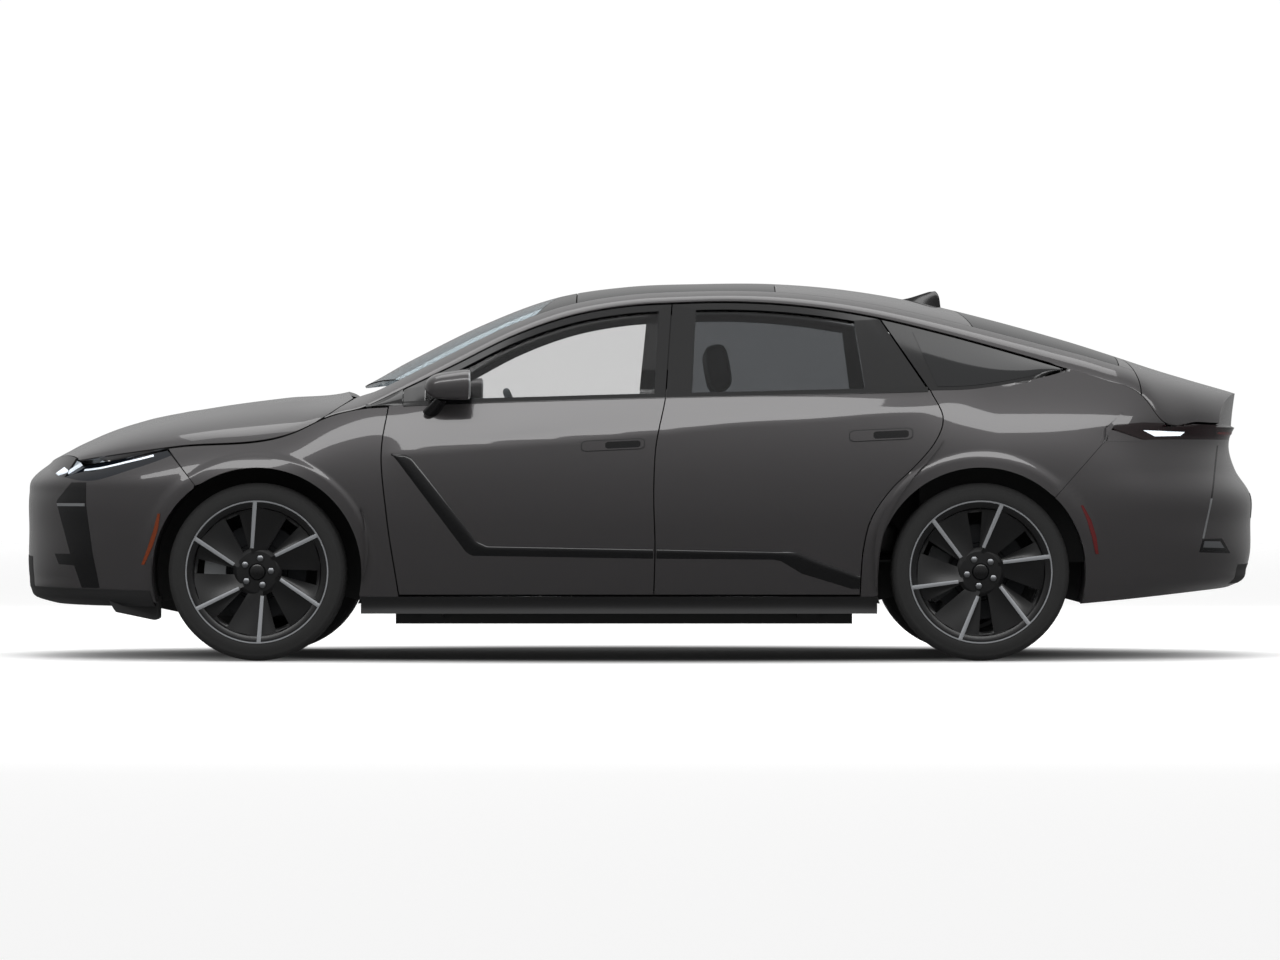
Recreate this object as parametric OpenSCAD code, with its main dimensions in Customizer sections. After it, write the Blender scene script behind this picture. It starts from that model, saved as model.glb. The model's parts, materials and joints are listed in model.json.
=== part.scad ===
// Large four-door electric sedan in millimetres, nose towards -X, left side at -Y, standing on Z = 0.

/* [Overall] */
// Distance between the axles
wheelbase = 2950; // [2700:10:3200]
// Nose to front axle
front_overhang = 1010; // [900:5:1150]
// Rear axle to tail
rear_overhang = 1182; // [1000:5:1300]
// Width over the body sides, without the mirrors
body_w = 1920; // [1800:10:2050]
// Height of the roof above the ground
body_h = 1563; // [1480:5:1650]

/* [Wheels] */
// Outer diameter of the loaded tyre
tyre_d = 728; // [690:2:770]
// Width of the tyre
tyre_w = 235; // [205:5:265]
// Diameter of the rim's seat under the tyre
rim_d = 545; // [500:5:570]
// Distance between the middles of the two tyres of an axle
track = 1650; // [1600:10:1720]
// Air between tyre and wheel arch
arch_gap = 62; // [50:1:90]

/* [Panels] */
// Thickness of the outer panels
skin_t = 18; // [10:1:25]
// Thickness of a whole door
door_t = 112; // [90:1:130]
// Thickness of the glass
glass_t = 5; // [4:0.5:8]
// Shut line between panels
shut = 9; // [7:0.5:12]
// Seat clearance between fixed pieces
seat = 0.3; // [0.2:0.1:0.6]

/* [Hinges] */
// Diameter of the hinge pins
pin_d = 12; // [8:1:16]
// Running clearance round a pin
run = 0.3; // [0.2:0.1:0.5]

/* [Hidden] */
$fn = 48;

// Stations of the styling curves are laid out on the base body and carried to the sizes above.
base_wheelbase = 2950;
base_front = 1010;
base_rear = 1182;
base_w = 1920;
base_h = 1576;
front_x = (front_overhang - rear_overhang - wheelbase) / 2;
rear_x = front_x + wheelbase;
base_front_x = (base_front - base_rear - base_wheelbase) / 2;
base_rear_x = base_front_x + base_wheelbase;
function sta(x) =
    x < base_front_x ? front_x + (x - base_front_x) * front_overhang / base_front
    : x > base_rear_x ? rear_x + (x - base_rear_x) * rear_overhang / base_rear
    : front_x + (x - base_front_x) * wheelbase / base_wheelbase;
function high(z) = z * body_h / base_h;
function wide(y) = y * body_w / base_w;
function lay_z(p) = [for (q = p) [sta(q[0]), high(q[1])]];
function lay_y(p) = [for (q = p) [sta(q[0]), wide(q[1])]];

wheel_r = tyre_d / 2;
wheel_z = wheel_r;
arch_r = wheel_r + arch_gap;
wheel_y = track / 2;

// A smooth curve through [x, value] points: cubic pieces with the slope of the parabola at each point.
function knot(p, x, i = 0) = i >= len(p) - 2 || x < p[i + 1][0] ? i : knot(p, x, i + 1);
function grade(p, i) = (p[i + 1][1] - p[i][1]) / (p[i + 1][0] - p[i][0]);
function slope(p, i) =
    i == 0 ? grade(p, 0)
    : i == len(p) - 1 ? grade(p, i - 1)
    : let (a = p[i][0] - p[i - 1][0], b = p[i + 1][0] - p[i][0])
      (grade(p, i - 1) * b + grade(p, i) * a) / (a + b);
function through(p, x) =
    let (
        last = len(p) - 1,
        xc = min(max(x, p[0][0]), p[last][0]),
        i = knot(p, xc),
        h = p[i + 1][0] - p[i][0],
        t = (xc - p[i][0]) / h,
        cubic = (2 * t * t * t - 3 * t * t + 1) * p[i][1]
            + (t * t * t - 2 * t * t + t) * h * slope(p, i)
            + (3 * t * t - 2 * t * t * t) * p[i + 1][1]
            + (t * t * t - t * t) * h * slope(p, i + 1),
        past = x < p[0][0] ? slope(p, 0) * (x - p[0][0])
            : x > p[last][0] ? slope(p, last) * (x - p[last][0]) : 0
    )
    cubic + past;
function mix(a, b, t) = a + (b - a) * t;
function spread(a, b, n) = [for (i = [0 : n]) mix(a, b, i / n)];

// Side-view and plan curves of the body
crown_line = lay_z([
    [-2470, 822], [-2385, 866], [-2182, 959], [-1979, 1018], [-1776, 1056], [-1472, 1098], [-1200, 1126],
    [-964, 1251], [-660, 1403], [-355, 1517], [-51, 1564], [254, 1576], [558, 1576], [863, 1551],
    [1168, 1499], [1472, 1424], [1776, 1335], [2081, 1234], [2385, 1145], [2516, 1112]]);
edge_line = lay_z([
    [-2470, 800], [-2320, 824], [-1898, 882], [-1415, 940], [-1263, 1010], [-1130, 1046], [-985, 1114],
    [-773, 1217], [-517, 1345], [-290, 1425], [-54, 1468], [165, 1481], [379, 1485], [662, 1468],
    [946, 1425], [1230, 1357], [1483, 1287], [1730, 1213], [1900, 1160], [2060, 1090], [2136, 1020],
    [2300, 985], [2516, 975]]);
edge_plan = lay_y([
    [-2470, 560], [-2400, 655], [-2320, 735], [-2150, 815], [-1898, 868], [-1415, 892], [-1263, 878],
    [-1130, 862], [-985, 826], [-773, 782], [-517, 735], [-290, 706], [-54, 690], [165, 682], [379, 680],
    [662, 684], [946, 694], [1230, 712], [1483, 732], [1730, 766], [1900, 806], [2060, 838], [2136, 842],
    [2300, 795], [2430, 700], [2516, 560]]);
belt_line = lay_z([
    [-2470, 800], [-2320, 824], [-1898, 882], [-1415, 940], [-1263, 1010], [-1130, 1042], [-1027, 1049],
    [-285, 1077], [562, 1098], [1178, 1114], [1345, 1119], [1555, 1150], [1728, 1192], [1760, 1203],
    [1900, 1160], [2060, 1090], [2136, 1020], [2300, 985], [2516, 975]]);
belt_plan = lay_y([
    [-2470, 560], [-2400, 655], [-2320, 735], [-2150, 815], [-1898, 868], [-1415, 892], [-1263, 888],
    [-1027, 886], [-285, 893], [562, 893], [1178, 886], [1345, 876], [1555, 838], [1728, 774],
    [1760, 770], [1900, 806], [2060, 838], [2136, 842], [2300, 795], [2430, 700], [2516, 560]]);
waist_plan = lay_y([[-1500, 958], [-900, 948], [0, 946], [800, 948], [1450, 960]]);
// Plan ends: nose and tail outline at each height
nose_line = [[high(225), sta(-2440)], [high(249), sta(-2530)], [high(287), sta(-2562)], [high(340), sta(-2570)],
    [high(540), sta(-2572)], [high(690), sta(-2571)], [high(745), sta(-2562)], [high(811), sta(-2487)],
    [high(866), sta(-2385)]];
tail_line = [[high(240), sta(2330)], [high(282), sta(2444)], [high(316), sta(2525)], [high(375), sta(2554)],
    [high(568), sta(2571)], [high(686), sta(2569)], [high(790), sta(2505)], [high(925), sta(2484)],
    [high(980), sta(2510)], [high(1094), sta(2514)]];
// Fullness of the plan corners and of the crown across the car
corner_p = 3.0;
corner_q = 2.3;
full_p = [[sta(-2470), 2.8], [sta(-1500), 2.8], [sta(-1150), 2.6], [sta(-700), 2.4], [sta(200), 2.6],
    [sta(1500), 2.6], [sta(2060), 3.6], [sta(2516), 4]];
full_q = [[sta(-2470), 1.5], [sta(-1500), 1.6], [sta(-1150), 1.3], [sta(-700), 1.5], [sta(200), 1.9],
    [sta(1500), 1.8], [sta(2060), 2], [sta(2516), 2]];

waist_z = high(690);
tuck = wide(48);
foot_z = high(250);
front_bend = sta(-1500);
rear_bend = sta(1450);

// Half width of the body side at height z before the plan corners
function flank_y(x, z) =
    let (w = through(waist_plan, x), zb = through(belt_line, x), yb = through(belt_plan, x))
    z > waist_z ? w - (w - yb) * pow((z - waist_z) / (zb - waist_z), 2.2)
    : w - tuck * pow((waist_z - z) / (waist_z - foot_z), 2);
// How far the plan corner has closed in at x, 1 at the bend and 0 at the end
function corner(u) = pow(1 - pow(min(max(u, 0), 1), corner_p), 1 / corner_q);
function glass_y(x, z) =
    let (
        zb = through(belt_line, x), zr = through(edge_line, x),
        k = (z - zb) / max(zr - zb, 1)
    )
    mix(through(belt_plan, x), through(edge_plan, x), k) + wide(14) * sin(180 * min(max(k, 0), 1));
function side_y(x, z) =
    z > through(belt_line, x) && x > sta(-1130) ? glass_y(x, z)
    : x < front_bend ?
        flank_y(front_bend, z) * corner((front_bend - x) / (front_bend - through(nose_line, z)))
    : x > rear_bend ?
        flank_y(rear_bend, z) * corner((x - rear_bend) / (through(tail_line, z) - rear_bend))
    : flank_y(x, z);
function side(p) = [p[0], side_y(p[0], p[1]), p[1]];
// Upper surface at station x, f from 0 at the crown line to 1 at its edge
function over(p) =
    let (
        x = p[0], f = abs(p[1]), zr = through(edge_line, x),
        rise = pow(max(1 - pow(f, through(full_p, x)), 0), 1 / through(full_q, x))
    )
    [x, p[1] * through(edge_plan, x), zr + (through(crown_line, x) - zr) * rise];

function unit(v) = v / max(norm(v), 1e-9);
// Outward normal of a surface function at p from two small steps
function lean_of(surf, p, a, b) = unit(cross(surf(p + a) - surf(p - a), surf(p + b) - surf(p - b)));
step_side = 2;
step_over = 0.004;
function side_n(p) = lean_of(function (q) side(q), p, [0, step_side], [step_side, 0]);
function over_n(p) =
    let (f = min(max(p[1], -0.985), 0.985))
    lean_of(function (q) over(q), [p[0], f], [step_side, 0], [0, step_over]);

// Closed solid between an outer and an inner grid of points; rows cross columns point outwards
module shell(outer, inner) {
    n = len(outer);
    m = len(outer[0]);
    s = n * m;
    function o(i, j) = i * m + j;
    outer_faces = [for (i = [0 : n - 2]) for (j = [0 : m - 2])
        each [[o(i, j), o(i, j + 1), o(i + 1, j + 1)], [o(i, j), o(i + 1, j + 1), o(i + 1, j)]]];
    inner_faces = [for (f = outer_faces) [f[2] + s, f[1] + s, f[0] + s]];
    rim = concat(
        [for (j = [0 : m - 1]) o(0, j)], [for (i = [1 : n - 1]) o(i, m - 1)],
        [for (j = [m - 2 : -1 : 0]) o(n - 1, j)], [for (i = [n - 2 : -1 : 1]) o(i, 0)]);
    k = len(rim);
    rim_faces = [for (i = [0 : k - 1])
        let (a = rim[i], b = rim[(i + 1) % k])
        each [[a, a + s, b + s], [a, b + s, b]]];
    polyhedron(
        points = concat([for (r = outer) each r], [for (r = inner) each r]),
        faces = concat(outer_faces, inner_faces, rim_faces));
}
// A panel on the body side over a grid of [x, z]; lean slides the inner face along x at its two ends
module side_panel(grid, t, depth = 0, lean = [0, 0]) {
    m = len(grid[0]) - 1;
    outer = [for (r = grid) [for (p = r) side(p) - depth * side_n(p)]];
    inner = [for (i = [0 : len(grid) - 1]) [for (j = [0 : m])
        outer[i][j] - t * side_n(grid[i][j])
            + [j == 0 ? lean[0] : j == m ? lean[1] : 0, 0, 0]]];
    shell(outer, inner);
}
// A panel of the upper surface over a grid of [x, f], with one thickness or one for each column
module over_panel(grid, t, depth = 0) {
    outer = [for (r = grid) [for (p = r) over(p) - depth * over_n(p)]];
    inner = [for (i = [0 : len(grid) - 1]) [for (j = [0 : len(grid[0]) - 1])
        outer[i][j] - (is_list(t) ? t[j] : t) * over_n(grid[i][j])]];
    shell(outer, inner);
}
// Rows of points between a lower and an upper edge of as many points
function rows(low, top, n) = [for (t = spread(0, 1, n)) [for (j = [0 : len(low) - 1]) mix(low[j], top[j], t)]];
// A path with each of its stretches split into k parts
function fine(p, k) = concat([for (i = [0 : len(p) - 2]) for (t = [0 : k - 1]) mix(p[i], p[i + 1], t / k)],
    [p[len(p) - 1]]);
// A mark on the body side over a grid of [x, z], standing out of the skin and reaching into it
module side_mark(grid, out, in) {
    side_panel(grid, out + in, -out);
}
module both() {
    children();
    mirror([0, 1, 0]) children();
}
module on_side(hand) {
    if (hand > 0) children();
    else mirror([0, 1, 0]) children();
}

// Shut lines of the doors, x at each height
front_cut = [[high(268), sta(-984)], [high(617), sta(-1035)], [high(882), sta(-1053)], [high(1045),
    sta(-1027)]];
middle_cut = [[high(268), sta(56)], [high(466), sta(61)], [high(705), sta(56)], [high(882), sta(65)],
    [high(1089), sta(105)], [high(1480), sta(132)]];
rear_cut = [[high(268), sta(898)], [high(352), sta(901)], [high(478), sta(913)], [high(592), sta(945)],
    [high(702), sta(1019)], [high(820), sta(1137)], [high(894), sta(1198)], [high(996), sta(1236)],
    [high(1115), sta(1185)]];
door_low = high(274);
sill_top = door_low - shut;
function cut_x(line, z) = through(line, z);
function belt_z(x) = through(belt_line, x);
function edge_z(x) = through(edge_line, x);
function arch(x, deg) = [x + arch_r * cos(deg), wheel_z + arch_r * sin(deg)];

// A door's lower panel: a thin flange ahead of its hinges, then the whole door's thickness
hinge_back = 62;
flange = hinge_back + 24;
door_lean = 0.32;
function door_grid(cut_a, cut_b, n, ahead) = [for (t = spread(0, 1, n)) [for (s = ahead)
    let (
        za = mix(door_low, high(1085), t),
        xa = mix(cut_x(cut_a, za) + s[0], cut_x(cut_b, za) - s[0], s[1]),
        z = mix(door_low, belt_z(xa), t),
        x0 = cut_x(cut_a, z) + shut / 2,
        x1 = cut_x(cut_b, z) - shut / 2
    )
    [s[1] == 0 ? x0 + s[0] : mix(x0 + flange + 6, x1, s[1]), z]]];
door_columns = concat([[0, 0], [flange / 2, 0], [flange, 0]], [for (t = spread(0, 1, 8)) [0,
    t == 0 ? 1e-6 : t]]);
module door_panel(cut_a, cut_b) {
    grid = door_grid(cut_a, cut_b, 12, door_columns);
    m = len(door_columns) - 1;
    outer = [for (r = grid) [for (p = r) side(p)]];
    inner = [for (i = [0 : len(grid) - 1]) [for (j = [0 : m])
        outer[i][j] - [j == m ? door_lean * door_t : 0, j < 3 ? skin_t : door_t, 0]]];
    shell(outer, inner);
}
// Window frame between an outer and an inner path of [x, z] points, and the pane inside it
frame_w = 28;
frame_t = 30;
pane_depth = 9;
module window_frame(outer_path, inner_path) {
    side_panel([inner_path, outer_path], frame_t, 2);
}
function top_path(a, b, n, drop) = [for (x = spread(a, b, n)) [x, edge_z(x) - drop]];
rail_gap = 6;
front_post = sta(-966);
front_pane = sta(-898);
function middle_x(z, gap) = cut_x(middle_cut, z) + gap;
mid_low_f = middle_x(belt_z(sta(105)), -shut / 2);
mid_top_f = middle_x(high(1478), -shut / 2);
mid_low_r = middle_x(belt_z(sta(105)), shut / 2 + 18);
mid_top_r = middle_x(high(1478), shut / 2 + 18);
rear_low = sta(1176);
rear_top = sta(985);
module front_frame() {
    window_frame(
        concat([[front_post, belt_z(front_post) + seat]], top_path(front_post, mid_top_f, 12, rail_gap),
            [[mid_low_f, belt_z(mid_low_f) + seat]]),
        concat([[front_pane, belt_z(front_pane) + seat]],
            top_path(front_pane, mid_top_f - frame_w, 12, rail_gap + frame_w),
            [[mid_low_f - frame_w, belt_z(mid_low_f) + seat]]));
}
module rear_frame() {
    window_frame(
        concat([[mid_low_r, belt_z(mid_low_r) + seat]], top_path(mid_top_r, rear_top, 10, rail_gap),
            [[rear_low, belt_z(rear_low) + seat]]),
        concat([[mid_low_r + frame_w, belt_z(mid_low_r) + seat]],
            top_path(mid_top_r + frame_w, rear_top - 1.4 * frame_w, 10, rail_gap + frame_w),
            [[rear_low - 1.4 * frame_w, belt_z(rear_low) + seat]]));
}
// The pane's lower edge lies above the belt by what its tilt brings it down
pane_lift = 8;
pane_side = 3;
module pane(low_a, low_b, top_a, top_b, n) {
    low = [for (x = spread(low_a + pane_side, low_b - pane_side, n)) [x, belt_z(x) + pane_lift]];
    top = [for (x = spread(top_a + pane_side, top_b - pane_side, n)) [x,
        edge_z(x) - rail_gap - frame_w - 2 * seat]];
    side_panel(rows(low, top, 5), glass_t, pane_depth);
}
module front_pane_solid() {
    pane(front_pane, mid_low_f - frame_w, front_pane, mid_top_f - frame_w, 12);
}
module rear_pane_solid() {
    pane(mid_low_r + frame_w, rear_low - 1.4 * frame_w - 6, mid_top_r + frame_w, rear_top - 1.4 * frame_w, 10);
}

// Hinges: a vertical pin on the body and a bored leaf on the door's inner box
hinge_in = 50;
leaf_h = 34;
leaf_r = pin_d / 2 + 4;
hinge_low = high(480);
hinge_high = high(800);
function hinge_x(line) = cut_x(line, high(640)) + shut / 2 + hinge_back;
function hinge_y(line) = side_y(hinge_x(line), high(640)) - hinge_in;
module door_leaf(line) {
    for (z = [hinge_low, hinge_high])
        translate([hinge_x(line), hinge_y(line), z]) difference() {
            union() {
                cylinder(r = leaf_r, h = leaf_h);
                translate([0, -leaf_r, 0])
                    cube([cut_x(line, z) + shut / 2 + flange + 6 - hinge_x(line) - seat - 1, leaf_r, leaf_h]);
            }
            translate([0, 0, -1]) cylinder(d = pin_d + 2 * run, h = leaf_h + 2);
        }
}
module door_pin(line) {
    for (z = [hinge_low, hinge_high])
        translate([hinge_x(line), hinge_y(line), z]) {
            translate([0, 0, -leaf_h]) cylinder(d = pin_d, h = 2 * leaf_h);
            in = max([for (dx = [-leaf_r, leaf_r]) for (dz = [-leaf_h, 0]) side_y(hinge_x(line) + dx, z + dz)])
                - post_in + 2 * seat - hinge_y(line);
            translate([-leaf_r + 2, in, -leaf_h - run]) cube([2 * leaf_r - 6, pin_d / 2 - in, leaf_h]);
        }
}
paint = "#6f7276";
black = "#17181a";
glass_tint = [0.25, 0.28, 0.3, 0.6];
// Blade: a groove that slants down the front door and runs back to drop ahead of the rear arch
groove = 5;
blade_front = [
    lay_z([[-1000, 800], [-938, 768], [-755, 432], [-680, 421], [40, 421]]),
    lay_z([[-985, 836], [-915, 812], [-715, 468], [-650, 460], [40, 456]])];
blade_rear = [
    lay_z([[80, 421], [560, 417], [650, 395], [770, 330], [855, 303]]),
    lay_z([[80, 456], [583, 450], [690, 438], [800, 380], [872, 345]])];
// Handles: slim bars that stand out of the skin
handle_out = 6;
sink = 8;
handle_front = [
    lay_z([[-240, 878], [-222, 866], [8, 872], [20, 884]]),
    lay_z([[-240, 892], [-226, 905], [4, 912], [20, 900]])];
handle_rear = [
    lay_z([[852, 918], [870, 906], [1100, 916], [1113, 928]]),
    lay_z([[852, 932], [866, 945], [1096, 955], [1113, 944]])];
module door(front) {
    line = front ? front_cut : middle_cut;
    blade = front ? blade_front : blade_rear;
    handle = front ? handle_front : handle_rear;
    color(paint) {
        difference() {
            door_panel(line, front ? middle_cut : rear_cut);
            side_mark(rows(fine(blade[0], 2), fine(blade[1], 2), 1), groove, groove);
        }
        side_mark(rows(handle[0], handle[1], 2), handle_out, sink);
        door_leaf(line);
    }
    color(black) {
        if (front) front_frame();
        else rear_frame();
    }
}
module door_front_left() on_side(-1) door(true);
module door_front_right() on_side(1) door(true);
module door_rear_left() on_side(-1) door(false);
module door_rear_right() on_side(1) door(false);
module glass_front_left() color(glass_tint) on_side(-1) front_pane_solid();
module glass_front_right() color(glass_tint) on_side(1) front_pane_solid();
module glass_rear_left() color(glass_tint) on_side(-1) rear_pane_solid();
module glass_rear_right() color(glass_tint) on_side(1) rear_pane_solid();

ease_columns = 9;
// Fenders: the top edge follows the hood's shut line, the lower edge the wheel arch
function eased(low, top, n, last, line, gap) =
    let (m = len(low) - 1, e = last ? m : 0)
    [for (t = spread(0, 1, n)) [for (j = [0 : m])
        let (
            z = mix(low[j][1], top[j][1], t),
            k = (z - low[e][1]) / (top[e][1] - low[e][1]),
            off = cut_x(line, z) + gap - mix(low[e][0], top[e][0], k),
            fade = pow(max(1 - abs(j - e) / ease_columns, 0), 2)
        )
        [mix(low[j][0], top[j][0], t) + off * fade, z]]];
fender_top = [for (x = [-1925, -1850, -1750, -1650, -1560, -1470, -1390, -1320, -1260, -1200, -1150, -1095,
    -1036])
    [sta(x), belt_z(sta(x)) - shut]];
fender_low = concat([[sta(-1811), high(723)]], [for (a = [116, 103, 90, 77, 64, 50, 35, 20, 4, -12])
    arch(front_x, a)],
    [[sta(-1075), sill_top + seat], [sta(-993), sill_top + seat]]);
module fender() {
    color(paint) side_panel(eased(fender_low, fender_top, 7, true, front_cut, -shut / 2), skin_t, 0, [0, -14]);
}
module fender_left() on_side(-1) fender();
module fender_right() on_side(1) fender();

// Quarter panels: from the rear door's cut over the wheel arch to the tail lamp
belt_stations = [for (x = [1215, 1240, 1270, 1305, 1345, 1400, 1470, 1555, 1640, 1700]) sta(x)];
quarter_top = concat([[sta(1192), belt_z(sta(1192)) - 1]], [for (x = belt_stations) [x, belt_z(x) - 1]],
    [for (x = [1745, 1800, 1870, 1950, 2036]) [sta(x), belt_z(sta(x)) - 6]]);
seam_r = [[high(670), sta(1686)], [high(915), sta(1904)]];
function seam_r_z(x) = mix(seam_r[0][0], seam_r[1][0], (x - seam_r[0][1]) / (seam_r[1][1] - seam_r[0][1]));
quarter_low = concat([[sta(905), sill_top + seat]], [for (a = [193, 177, 160, 142, 124, 106, 88, 72, 58,
    46]) arch(rear_x, a)],
    [for (x = [1745, 1800, 1850]) [sta(x), seam_r_z(sta(x))]],
    [[sta(1899), high(985)], [sta(2036), high(994)]]);
module quarter() {
    color(paint) side_panel(eased(quarter_low, quarter_top, 12, false, rear_cut, shut / 2), skin_t);
}
module quarter_left() on_side(-1) quarter();
module quarter_right() on_side(1) quarter();
pane_q_top = sta(1020);
tip = sta(1712);
module quarter_pane() {
    low = [for (x = belt_stations) [x, belt_z(x) + 4 * seat]];
    top = [for (x = spread(pane_q_top, tip - 30, len(low) - 1)) [x, edge_z(x) - rail_gap]];
    side_panel(rows(low, top, 3), glass_t + 8, 3);
}
module quarter_glass() color(glass_tint) both() quarter_pane();

// Upper surface: hood, windscreen, roof, rear window and trunk lid share one crown
screen_f = 0.88;
hood_side = [[sta(-1320), 1], [sta(-1263), 0.975], [sta(-1210), 0.885], [sta(-1176), 0.8]];
hood_front = sta(-2466);
hood_rear = sta(-1222);
function hood_f(x) = min(through(hood_side, max(x, sta(-1320))), 1);
module hood_skin() {
    grid = [for (t = spread(0, 1, 16)) [for (k = spread(-1, 1, 16))
        let (
            s = sin(90 * k) * 0.6 + k * 0.4,
            x = mix(hood_front + 165 * pow(abs(s), 3), hood_rear + 42 * pow(abs(s), 2), t)
        )
        [x, s * hood_f(x)]]];
    over_panel(grid, concat([skin_t / 2], [for (i = [1 : 15]) skin_t], [skin_t / 2]));
}
screen_low = sta(-1160);
screen_top = sta(-312);
module windshield() {
    color(glass_tint) over_panel([for (t = spread(0, 1, 10)) [for (s = spread(-1, 1, 12))
        [mix(screen_low + 172 * s * s, screen_top - 115 * s * s, t), s * screen_f]]], glass_t);
}
roof_a = sta(-262);
roof_b = sta(558);
window_a = sta(1302);
window_b = sta(1966);
module roof_glass() {
    color(black) over_panel([for (x = spread(roof_a + seat, roof_b - seat, 8)) [for (s = spread(-1, 1, 12))
        [x, s * screen_f]]], glass_t + 7);
}
// Antenna fin: a blade that rises backwards and ends upright
fin = [[sta(1087), high(1511)], [sta(1200), high(1550)], [sta(1262), high(1548)], [sta(1272), high(1470)]];
fin_w = 30;
module fin_solid() {
    hull() {
        translate([fin[0][0], 0, through(crown_line, fin[0][0]) - skin_t]) cylinder(d = fin_w / 5, h =
            skin_t, $fn = 12);
        translate([fin[3][0] - fin_w / 2, 0, through(crown_line, fin[3][0]) - skin_t])
            cylinder(d = fin_w, h = skin_t, $fn = 12);
        for (q = [fin[1], fin[2]]) translate([q[0], 0, q[1] - fin_w / 5]) cylinder(d = fin_w / 5, h =
            fin_w / 5, $fn = 12);
    }
}
module roof_panel() {
    color(black) fin_solid();
    color(paint) {
        over_panel([for (t = spread(0, 1, 2)) [for (s = spread(-1, 1, 12))
            [mix(screen_top + seat - 115 * s * s, roof_a - seat, t), s * screen_f]]], skin_t + 12);
        over_panel([for (t = spread(0, 1, 7)) [for (s = spread(-1, 1, 12))
            [mix(roof_b + seat, window_a - seat + 70 * s * s, t), s * screen_f]]], skin_t + 12);
    }
}
module rear_window() {
    color(glass_tint) over_panel([for (t = spread(0, 1, 9)) [for (s = spread(-1, 1, 12))
        [mix(window_a + seat + 70 * s * s, window_b, t), s * screen_f]]], glass_t);
}
rail_in = [[sta(-1300), 0.996], [sta(-1263), 0.985], [sta(-1210), 0.905], [sta(-1165), 0.83], [sta(-1080),
    0.862],
    [sta(-985), screen_f], [sta(2036), screen_f]];
module rail() {
    stations = [for (x = [-1285, -1255, -1220, -1185, -1150, -1080, -985, -870, -740, -600, -450, -300,
        -150, 20,
        200, 380, 560, 740, 920, 1100, 1280, 1460, 1640, 1800, 1920, 2500]) sta(x)];
    color(paint) {
        over_panel([for (x = stations) [for (t = spread(0, 1, 3))
            let (f = mix(through(rail_in, x) + 0.0006, 0.9995, t))
            [min(x, lid_front + lid_bow * pow(f, 3) - shut), f]]], [40, 40, 36, 12]);
        low = [for (x = spread(sta(-1118), front_post - 4, 5)) [x, belt_z(x) + 14]];
        top = [for (x = spread(sta(-1118), front_post - 4, 5)) [x, max(edge_z(x) - 1, belt_z(x) + 18)]];
        side_panel(rows(low, top, 2), skin_t);
    }
}
module rail_left() on_side(-1) rail();
module rail_right() on_side(1) rail();

// Trunk lid: the deck, its rounded shoulders and the rear face down to the tail lamp
lid_front = sta(1990);
lid_rear = sta(2512);
lid_low = high(974);
lid_bow = 66;
function lid_x1(s) = lid_rear - 115 * pow(abs(s), 3.2);
module lid_skin() {
    across = [for (k = spread(-1, 1, 18)) sin(90 * k) * 0.6 + k * 0.4];
    deck = [for (t = spread(0, 1, 8)) [for (s = across)
        [mix(lid_front + lid_bow * pow(abs(s), 3), lid_x1(s), t), s]]];
    top = [for (r = deck) [for (p = r) over(p)]];
    under = [for (r = deck) [for (p = r) over(p) - skin_t * over_n(p)]];
    last = len(top) - 1;
    face = [for (t = [0.3, 0.65, 1]) [for (j = [0 : len(across) - 1])
        [top[last][j][0] - 6 * t, top[last][j][1], mix(top[last][j][2], min(lid_low, top[last][j][2] - 1),
            t)]]];
    back = [for (r = face) [for (j = [0 : len(across) - 1])
        [r[j][0] - skin_t - 12, r[j][1] * 0.97, r[j][2]]]];
    shell(concat(top, face), concat(under, back));
}

// Bumpers: rows of height round the plan corners from wheel arch to wheel arch
function bend_point(z, w, bend, end_line, x_side) =
    let (
        reach = through(end_line, z) - bend,
        a0 = asin(pow(min(max((x_side - bend) / reach, 0), 1), corner_p / 2)),
        a = mix(a0, 90, 1 - abs(w))
    )
    [bend + reach * pow(sin(a), 2 / corner_p),
     sign(w) * flank_y(bend, z) * pow(max(cos(a), 0), 2 / corner_q), z];
function arch_side(x, z, hand) =
    x + hand * sqrt(max(pow(arch_r, 2) - pow(z - wheel_z, 2), 0));
seam_f = [[fender_low[0][1], fender_low[0][0]], [fender_top[0][1], fender_top[0][0]]];
function nose_side(z) = (z < high(723) ? min(arch_side(front_x, z, -1), sta(-1811)) : through(seam_f,
    z)) - 12 * seat;
function tail_side(z) = (z < high(670) ? max(arch_side(rear_x, z, 1), sta(1686)) : through(seam_r, z)) + seat;
function nose(z, w) = bend_point(z, w, front_bend, nose_line, nose_side(z));
function tail(z, w) = bend_point(z, w, rear_bend, tail_line, tail_side(z));
// w runs from 1 at the right side over 0 at the middle to -1 at the left side
nose_top = [[0, high(803)], [0.3, high(795)], [0.42, high(774)], [0.52, high(757)], [0.68, high(743)],
    [0.84, high(790)], [1, high(846)]];
nose_low = [[0, high(262)], [0.5, high(258)], [1, high(240)]];
tail_top = [[0, high(915)], [0.5, high(914)], [1, high(912)]];
tail_low = [[0, high(300)], [0.5, high(282)], [1, high(236)]];
module wrap(surf, low, top, ws, n, t, shift) {
    outer = [for (k = spread(0, 1, n)) [for (w = ws)
        surf(mix(through(low, abs(w)), through(top, abs(w)), k), w)]];
    inner = [for (k = [0 : n]) [for (j = [0 : len(ws) - 1])
        let (p = outer[k][j])
        [p[0] + shift * t * (1 - ws[j] * ws[j]), p[1] - t * ws[j], p[2]]]];
    shell(outer, inner);
}
bumper_t = 30;
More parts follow.
